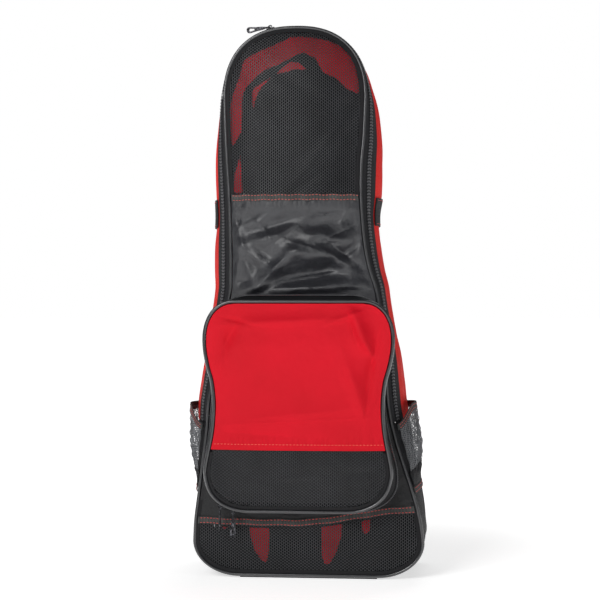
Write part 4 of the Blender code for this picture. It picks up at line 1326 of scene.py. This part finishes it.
for word, side in SIDES:
    lay = side_pocket_place(side, crinkle=CRINKLE)
    width = side_length(side * t_at(SIDE_POCKET_LOW)) - 2 * SP_START
    rise = pocket_top(0.08) - SIDE_POCKET_LOW

    def spot(p, q, lay=lay, width=width, rise=rise):
        return lay(p / width, q / rise)

    def within(p, q, width=width, rise=rise):
        return 0.002 < p < width - 0.002 and FOOT_SHARE * rise - 0.001 < q < (1 - HEM_SHARE * 0.4) * rise

    mesh = net("side_net_" + word, spot, within, (0, width, 0, rise), SIDE_NET_THICK, *SIDE_CELL)
    join(mesh, cloth("side_net_foot_" + word, steps(0, 1, 60), steps(0, FOOT_SHARE, 14), lay, RIBBON_THICK))
    across, along, place = steps(0, 1, 30), steps(0, 1, 12), side_pocket_place(side)
    node, under = "side_pocket_" + word, "foot_" + word
    net_sheet(mesh, (grey_net, matt), node, across, along, place, under)

    across, along, place = steps(0, 1, 70), steps(1 - HEM_SHARE, 1.0, 5), side_pocket_place(side, 0.0015)
    name, node = "side_hem_" + word, "side_pocket_hem_" + word
    sheet(name, ribbon, node, across, along, place, HEM_THICK, mesh.name)
    across, along, place = steps(0, 1, 60), steps(0, 1, 5), side_foot_ribbon(side)
    name, node = "side_band_" + word, "side_pocket_base_band_" + word
    sheet(name, ribbon, node, across, along, place, HEM_THICK, under)
    lay = side_pocket_place(side, 0.0021)
    rows = [[lay(share, row) for share in steps(0.01, 0.99, 90)] for row in (0.925, 0.975)]
    lay = side_foot_ribbon(side, 0.0006)
    rows += [[lay(share, row) for share in steps(0.01, 0.99, 70)] for row in (0.2, 0.8)]
    stitches("stitches_side_" + word, rows, crimson, Vector((side, 0, 0)))


# Front pocket
# A box of its own: a black nylon wall with a fine zip round it, glossy piping round the face, red polyester
# on the upper face and net on its foot. The red is creased at its upper corners and puckers over its hem.
POCKET_FORWARD = 0.045
POCKET_LOW = 0.1265 * HEIGHT
POCKET_HEM = 0.2354 * HEIGHT
POCKET_CROWN = 0.009
POCKET_SWAY = 0.002
# Share of the wall's depth, from the nylon to the face, at which its zip runs
WALL_COIL = 0.56
LOW_CORNER = (0.37 * HALF, 0.0544 * HEIGHT)
HIGH_CORNER = (0.218 * HALF, 0.0449 * HEIGHT)

# Share of HEIGHT, share of HALF: half width of the pocket's face
POCKET_HALF = (
    (0.120, 0.790),
    (0.170, 0.785),
    (0.196, 0.803),
    (0.226, 0.780),
    (0.258, 0.750),
    (0.284, 0.735),
    (0.320, 0.730),
    (0.355, 0.748),
    (0.382, 0.784),
    (0.412, 0.812),
    (0.440, 0.815),
    (0.467, 0.792),
    (0.500, 0.780),
)
CREASE_HEIGHT = 2.0
POCKET_FOLDS = (
    (0.56, 0.445, -65, 0.26, 0.060, 0.030),
    (0.66, 0.400, 78, 0.24, 0.050, -0.030),
    (0.50, 0.350, -72, 0.28, 0.060, 0.022),
    (-0.60, 0.430, 60, 0.22, 0.060, -0.022),
    (-0.15, 0.462, 3, 0.50, 0.050, 0.014),
    (0.05, 0.190, 4, 0.60, 0.060, -0.016),
    (0.60, 0.420, -58, 0.16, 0.022, 0.012),
    (0.48, 0.452, -70, 0.12, 0.022, -0.010),
    (0.62, 0.330, 80, 0.20, 0.022, -0.010),
    (0.42, 0.470, 20, 0.16, 0.020, 0.008),
    (-0.66, 0.395, 80, 0.14, 0.022, 0.009),
    (-0.50, 0.462, -14, 0.14, 0.020, -0.009),
    (0.10, 0.300, 6, 0.55, 0.060, 0.008),
    (-0.30, 0.262, -4, 0.40, 0.040, -0.007),
    (0.02, 0.287, 3, 0.70, 0.010, 0.003),
)


def pocket_half(z):
    return HALF * between(z / HEIGHT, POCKET_HALF, 1)


def root_half(z):
    return half_at(z) - 0.0115


FACE_LOOP = (pocket_half, lambda z: POCKET_SWAY, POCKET_LOW, POCKET_HIGH, LOW_CORNER, HIGH_CORNER)
ROOT_LOOP = (root_half, sway_at, POCKET_LOW + 0.008, POCKET_HIGH + 0.006, LOW_CORNER, HIGH_CORNER)


def loop_half(z, loop, inset):
    """Half width of a pocket loop at a height, with its rounded corners."""
    half_of, _, low, high, low_corner, high_corner = loop
    half = half_of(z) - inset
    if z < low + low_corner[1]:
        down = min((low + low_corner[1] - z) / (low_corner[1] - inset), 1.0)
        return half - (low_corner[0] - inset) * (1 - math.sqrt(1 - down * down))
    if z > high - high_corner[1]:
        up = min((z - high + high_corner[1]) / (high_corner[1] - inset), 1.0)
        return half - (high_corner[0] - inset) * (1 - math.sqrt(1 - up * up))
    return half


def loop_point(s, loop, inset=0.0):
    """Point (x, z) of a pocket loop: s from 0 to 1 starts at the bottom middle and rises on the left."""
    half_of, middle_of, low, high, low_corner, high_corner = loop
    side = -1.0 if s <= 0.5 else 1.0
    part = s if s <= 0.5 else 1.0 - s
    low += inset
    high -= inset
    low_wide, low_high = low_corner[0] - inset, low_corner[1] - inset
    high_wide, high_high = high_corner[0] - inset, high_corner[1] - inset
    low_side = low + low_high
    high_side = high - high_high
    if part < 0.10:
        half = (half_of(low) - inset - low_wide) * part / 0.10
        z = low
    elif part < 0.20:
        angle = math.radians(90) * (part - 0.10) / 0.10
        z = low_side - low_high * math.cos(angle)
        half = half_of(z) - inset - low_wide * (1 - math.sin(angle))
    elif part < 0.40:
        z = low_side + (high_side - low_side) * (part - 0.20) / 0.20
        half = half_of(z) - inset
    elif part < 0.46:
        angle = math.radians(90) * (part - 0.40) / 0.06
        z = high_side + high_high * math.sin(angle)
        half = half_of(z) - inset - high_wide * (1 - math.cos(angle))
    else:
        z = high
        half = (half_of(high) - inset - high_wide) * (0.5 - part) / 0.04
    return middle_of(z) + side * half, z


def face_depth(x, z):
    """The pocket face's depth: a shallow cushion with creases."""
    half = pocket_half(z)
    off = min(abs(x - POCKET_SWAY) / half, 1.0)
    up = min(max((z - POCKET_LOW) / (POCKET_HIGH - POCKET_LOW), 0.0), 1.0)
    cushion = (1 - off**3) * ease(up / 0.22) * ease((1 - up) / 0.22)
    free = ease((0.95 - off) / 0.2) * ease((1 - up) / 0.06) * ease(up / 0.08)
    creases = CREASE_HEIGHT * fold_height(x, z, POCKET_FOLDS, sharp=1.5) * free
    hem = 0.0005 * math.sin(x * 620 + 2 * math.sin(x * 170)) * ease((0.97 - off) / 0.1)
    hem *= math.exp(-(((z - POCKET_HEM - 0.011) / 0.006) ** 2))
    return front_at(z) - POCKET_FORWARD - POCKET_CROWN * cushion - creases - hem


def face_place(u, z, lift=0.0, inset=NET_EDGE + 0.0003):
    x = POCKET_SWAY + u * loop_half(z, FACE_LOOP, inset)
    return Vector((x, face_depth(x, z) - lift, z))


def face_spot(x, z):
    return Vector((x, face_depth(x, z), z))


def in_face_net(x, z):
    if not POCKET_LOW + NET_EDGE + 0.001 < z < POCKET_HEM + 0.002:
        return False
    return abs(x - POCKET_SWAY) < loop_half(z, FACE_LOOP, NET_EDGE + 0.0022)


def face_border(s, inset):
    return loop_point(s % 1.0, FACE_LOOP, inset)


def face_edge(s):
    return face_spot(*face_border(s, 0.0))


def gusset_place(s, share, lift=0.0):
    """Pocket side wall: share 0 on the nylon, 1 at the face piping."""
    root_x, root_z = loop_point(s, ROOT_LOOP)
    root = Vector((root_x, front_surface(root_x, root_z) - CLOTH - 0.0013, root_z))
    edge = face_edge(s)
    before = loop_point((s - 0.004) % 1.0, FACE_LOOP)
    after = loop_point((s + 0.004) % 1.0, FACE_LOOP)
    across, up = after[0] - before[0], after[1] - before[1]
    length = math.hypot(across, up)
    out = Vector((-up / length, 0.0, across / length))
    path = edge - root
    stop = 1 - (PIPE + SEAM_GAP + 0.0010) / path.length
    bow = 0.0035 * math.sin(math.pi * share)
    return root + path * (share * stop) + out * (bow + lift)


red_face = red_cloth("polyester_face", (184, 10, 22), (226, 18, 42))
across = steps(-1, 1, 120)
along = steps(POCKET_HEM, POCKET_HIGH - HIGH_CORNER[1], 110)[:-1]
along += [POCKET_HIGH - HIGH_CORNER[1] * (1 - math.sin(math.radians(angle))) for angle in steps(0, 84, 26)]
along = [z for z in along if z < POCKET_HIGH - NET_EDGE] + [POCKET_HIGH - NET_EDGE]
sheet("face_red", red_face, "pocket_front", across, along, face_place, CLOTH, "piping_pocket")

reach = (-0.13, 0.13, POCKET_LOW, POCKET_HEM + 0.004)
face_net = net("face_net", face_spot, in_face_net, reach, NET_THICK)
bind(face_net, steps(0.763, 1.237, 220), face_border, NET_EDGE, face_spot)
across, along, looks = steps(-1, 1, 30), steps(POCKET_LOW + NET_EDGE, POCKET_HEM, 12), (netting, binding_and_seam_shade)
net_sheet(face_net, looks, "pocket_mesh", across, along, face_place, "piping_pocket")

piping("piping_pocket", [face_edge(s) for s in steps(0, 1, 360)[:-1]], "pocket_piping")

around = []
stops = (0.0, 0.10, 0.20, 0.40, 0.46, 0.54, 0.60, 0.80, 0.90, 1.0)
for start, end, count in zip(stops, stops[1:], (16, 30, 56, 26, 36, 26, 56, 30, 16)):
    around += steps(start, end, count)[:-1]
along, place, node = steps(0, 1, 24), gusset_place, "pocket_gusset"
sheet("wall_pocket", matt, node, around, along, place, CLOTH, "nylon_front", ring=True)


def pocket_coil_place(s, share):
    return gusset_place(s, share, lift=CLOTH / 2 + GAP + 0.0010)


stations = stations_of(pocket_coil_place, WALL_COIL, 0.09, 0.9999, 0.0022)
bead = (0.0026, 0.0013, COIL_THICK * 0.80)
teeth("teeth_pocket", stations, pocket_coil_place, WALL_COIL, 0.105, bead, "pocket_zip_coil")
orange = sewing_thread("thread_orange", (240, 110, 80), (214, 70, 50), (244, 108, 80))
lift = CLOTH / 2 + 0.0001
rows = [[face_place(u, POCKET_HEM + 0.0075, lift=lift) for u in steps(-0.985, 0.985, 160)]]
stitches("stitches_face", rows, orange)
rows = [[gusset_place(s, 0.30, lift=lift) for s in steps(0.22, 0.78, 300)]]
stitches("stitches_wall", rows, crimson, Vector((0, 0, 1)))


# Padded back
# A thin foam pad under tightly woven black cloth, sewn into the back piping and stitched through in channels.
# It lies flat on the wearer's back and has a faint crown between its seams.
PAD = 0.006
BACK_SEAM = PIPE + SEAM_GAP + 0.0005
CHANNELS = (0.18, 0.34, 0.50, 0.66)


def back_panel_place(u, z):
    x = sway_at(z) + u * half_at(z, BACK_SEAM)
    free = ease((1 - abs(u)) / 0.12) * ease((z - 0.01) / 0.02) * ease((HEIGHT - 0.012 - z) / 0.02)
    groove = sum(math.exp(-(((z / HEIGHT - channel) * HEIGHT / 0.0035) ** 2)) for channel in CHANNELS)
    groove += math.exp(-(((abs(u) - 0.55) * half_at(z) / 0.0035) ** 2)) * ease((0.70 - z / HEIGHT) / 0.05)
    lift = 0.0006 * free - 0.0011 * min(groove, 1.0) * free
    return Vector((x, back_surface(x, z) + lift, z))


padding = Look("padding_cloth", (38, 38, 42), 0.75, {"Specular IOR Level": 0.3})
threads = weave(padding, padding.along_cloth(), 0.0009)
worn = padding.noise(padding.in_space(), 24.0, 3.0)
padding.vary("Base Color", padding.tones(worn * 0.6 + threads * 0.4, (16, 16, 19), (50, 50, 54)))
padding.vary("Roughness", 0.62 + 0.25 * worn)
padding.vary("Normal", padding.bump(threads, 0.0002, padding.bump(worn, 0.002)))

across = steps(-1, 1, 70)
along = steps(FLOOR_LIFT + BACK_SEAM + 0.001, CORNER_TOP, 12)[:-1] + steps(CORNER_TOP, ARCH_START, 170)[:-1]
along += [arch_height(math.radians(angle), BACK_SEAM) for angle in steps(4, 84, 30)]
piece = cloth("back_padded", across, along, back_panel_place, PAD / 2.4)
settle(piece, padding, ["back_panel"])


# Yoke, shoulder straps and their webbing
# Two padded straps come out from under a stitched yoke at the top of the back. Webbing sewn to the foot of
# the back runs up through a moulded adjuster at the end of each strap.
WEBBING = 0.025
STRAP = 0.052
STRAP_THICK = 0.008
YOKE_LOW = 0.811 * HEIGHT
YOKE_HIGH = 0.871 * HEIGHT
STRAP_TOP = 0.827 * HEIGHT
STRAP_END = 0.320 * HEIGHT
WEB_FOOT = 0.071 * HEIGHT
BACK_CLEAR = PAD / 4.8 + GAP


def yoke_place(u, row, extra=0.0):
    z = YOKE_LOW + (YOKE_HIGH - YOKE_LOW) * row
    x = u * 0.436 * HALF
    stand = (STRAP_THICK + 0.0018) * (1 - ease((row - 0.28) / 0.6)) * (0.86 + 0.14 * ease(abs(u) * 1.4))
    return Vector((x, back_surface(x, z) + BACK_CLEAR + 0.0009 + stand + extra, z))


def strap_place(side):
    """u from -1 to 1 across the strap, z up, lift away from the back."""

    def place(u, z, lift=0.0):
        share = (STRAP_TOP - z) / (STRAP_TOP - STRAP_END)
        middle = side * HALF * (0.224 + 0.224 * ease(share))
        x = middle + u * (STRAP / 2 - 0.006 * ease((share - 0.55) / 0.45))
        stand = 0.016 * math.sin(math.pi * min(max(share * 1.1 - 0.06, 0.0), 1.0)) ** 2
        return Vector((x, back_surface(x, z) + BACK_CLEAR + STRAP_THICK / 2 + 0.0012 + stand + lift, z))

    return place


def web_place(side):
    def place(u, row):
        top = STRAP_END - 0.004
        z = WEB_FOOT + (top - WEB_FOOT) * row
        x = side * HALF * (0.739 - 0.290 * row) + u * WEBBING / 2
        stand = 0.008 * math.sin(math.pi * row)
        return Vector((x, back_surface(x, z) + BACK_CLEAR + WEBBING_THICK / 2 + 0.0001 + stand, z))

    return place


across, along = steps(-1, 1, 50), steps(0, 1, 26)
sheet("yoke", belt, "yoke_back", across, along, yoke_place, WEBBING_THICK, "back_padded")
levels = (0.05, 0.18, 0.90, 0.96)
rows = [[yoke_place(u, row, extra=0.0009) for u in steps(-0.97, 0.97, 60)] for row in levels]
stitches("stitches_yoke", rows, rust, Vector((0, 1, 0)))

SECTION = [math.radians(turn) for turn in range(0, 360, 10)]
for word, side in SIDES:
    lay = strap_place(side)
    points = []
    chart = []
    heights = steps(STRAP_END, STRAP_TOP, 110)
    for z in heights:
        channel = 0.0007 * math.exp(-(((z - STRAP_END - 0.02) / 0.002) ** 2))
        end = min(ease((z - STRAP_END) / 0.006 + 0.55), ease((STRAP_TOP - z) / 0.006 + 0.55))
        for angle in SECTION:
            across_share = math.copysign(abs(math.cos(angle)) ** 0.45, math.cos(angle))
            high = math.copysign(abs(math.sin(angle)) ** 0.75, math.sin(angle))
            seam = 1 - 0.30 * math.exp(-(((abs(across_share) - 0.84) / 0.05) ** 2))
            thick = (STRAP_THICK / 2 * end - channel) * high * seam
            points.append(lay(across_share, z, thick))
            chart.append((across_share * STRAP / 2 + (0.1 if high < 0 else 0.0), z))
    count = len(SECTION)
    faces = grid_faces(len(heights), count, wrap_columns=True)
    faces += [tuple(range(count)), tuple(range(len(points) - 1, len(points) - 1 - count, -1))]
    strap = from_mesh("strap_" + word, points, faces, chart)
    face_outward(strap)
    settle(strap, padding, ["shoulder_strap_" + word], smooth=50)
    sewn = steps(STRAP_END + 0.01, YOKE_LOW - 0.004, 120)
    rows = [[lay(u, z, STRAP_THICK / 2 * 0.52) for z in sewn] for u in (-0.84, 0.84)]
    stitches("stitches_strap_" + word, rows, rust, Vector((0, 1, 0)))

    across, along, place = steps(-1, 1, 12), steps(0, 1, 90), web_place(side)
    name, node = "web_" + word, "lower_webbing_" + word
    sheet(name, belt, node, across, along, place, WEBBING_THICK, "back_padded")

moulded = Look("buckle_moulded", (30, 30, 33), 0.42, {"Coat Weight": 0.05})
grain = moulded.noise(moulded.in_space(), 1500.0, 3.0)
moulded.vary("Base Color", moulded.tones(grain, (24, 24, 27), (48, 48, 52)))
moulded.vary("Roughness", 0.34 + 0.25 * moulded.noise(moulded.in_space(), 90.0))
moulded.vary("Normal", moulded.bump(grain, 0.00008))
refinish(moulded, ["strap_adjuster_" + word for word, side in SIDES])


# Zip sliders and pulls
# Cast metal with a dark plating that has rubbed paler in places. One slider runs over the arch, two run round
# the pocket, and each pull hangs by its eye from the crown of its slider.
plated = Look("metal_plated", (60, 60, 66), 0.3, {"Metallic": 0.7})
space = plated.in_space()
rub = plated.step(plated.noise(space, 380.0, 3.0), 0.45, 0.75)
plated.vary("Base Color", plated.tones(rub, (30, 30, 33), (120, 120, 126)))
plated.vary("Roughness", 0.24 + 0.22 * plated.noise(space, 900.0))
plated.vary("Normal", plated.bump(plated.noise(space, 2400.0), 0.00004))
refinish(plated, ["main_slider", "pocket_slider_a", "pocket_slider_b"])
refinish(plated, ["main_pull", "pocket_pull_a", "pocket_pull_b"])
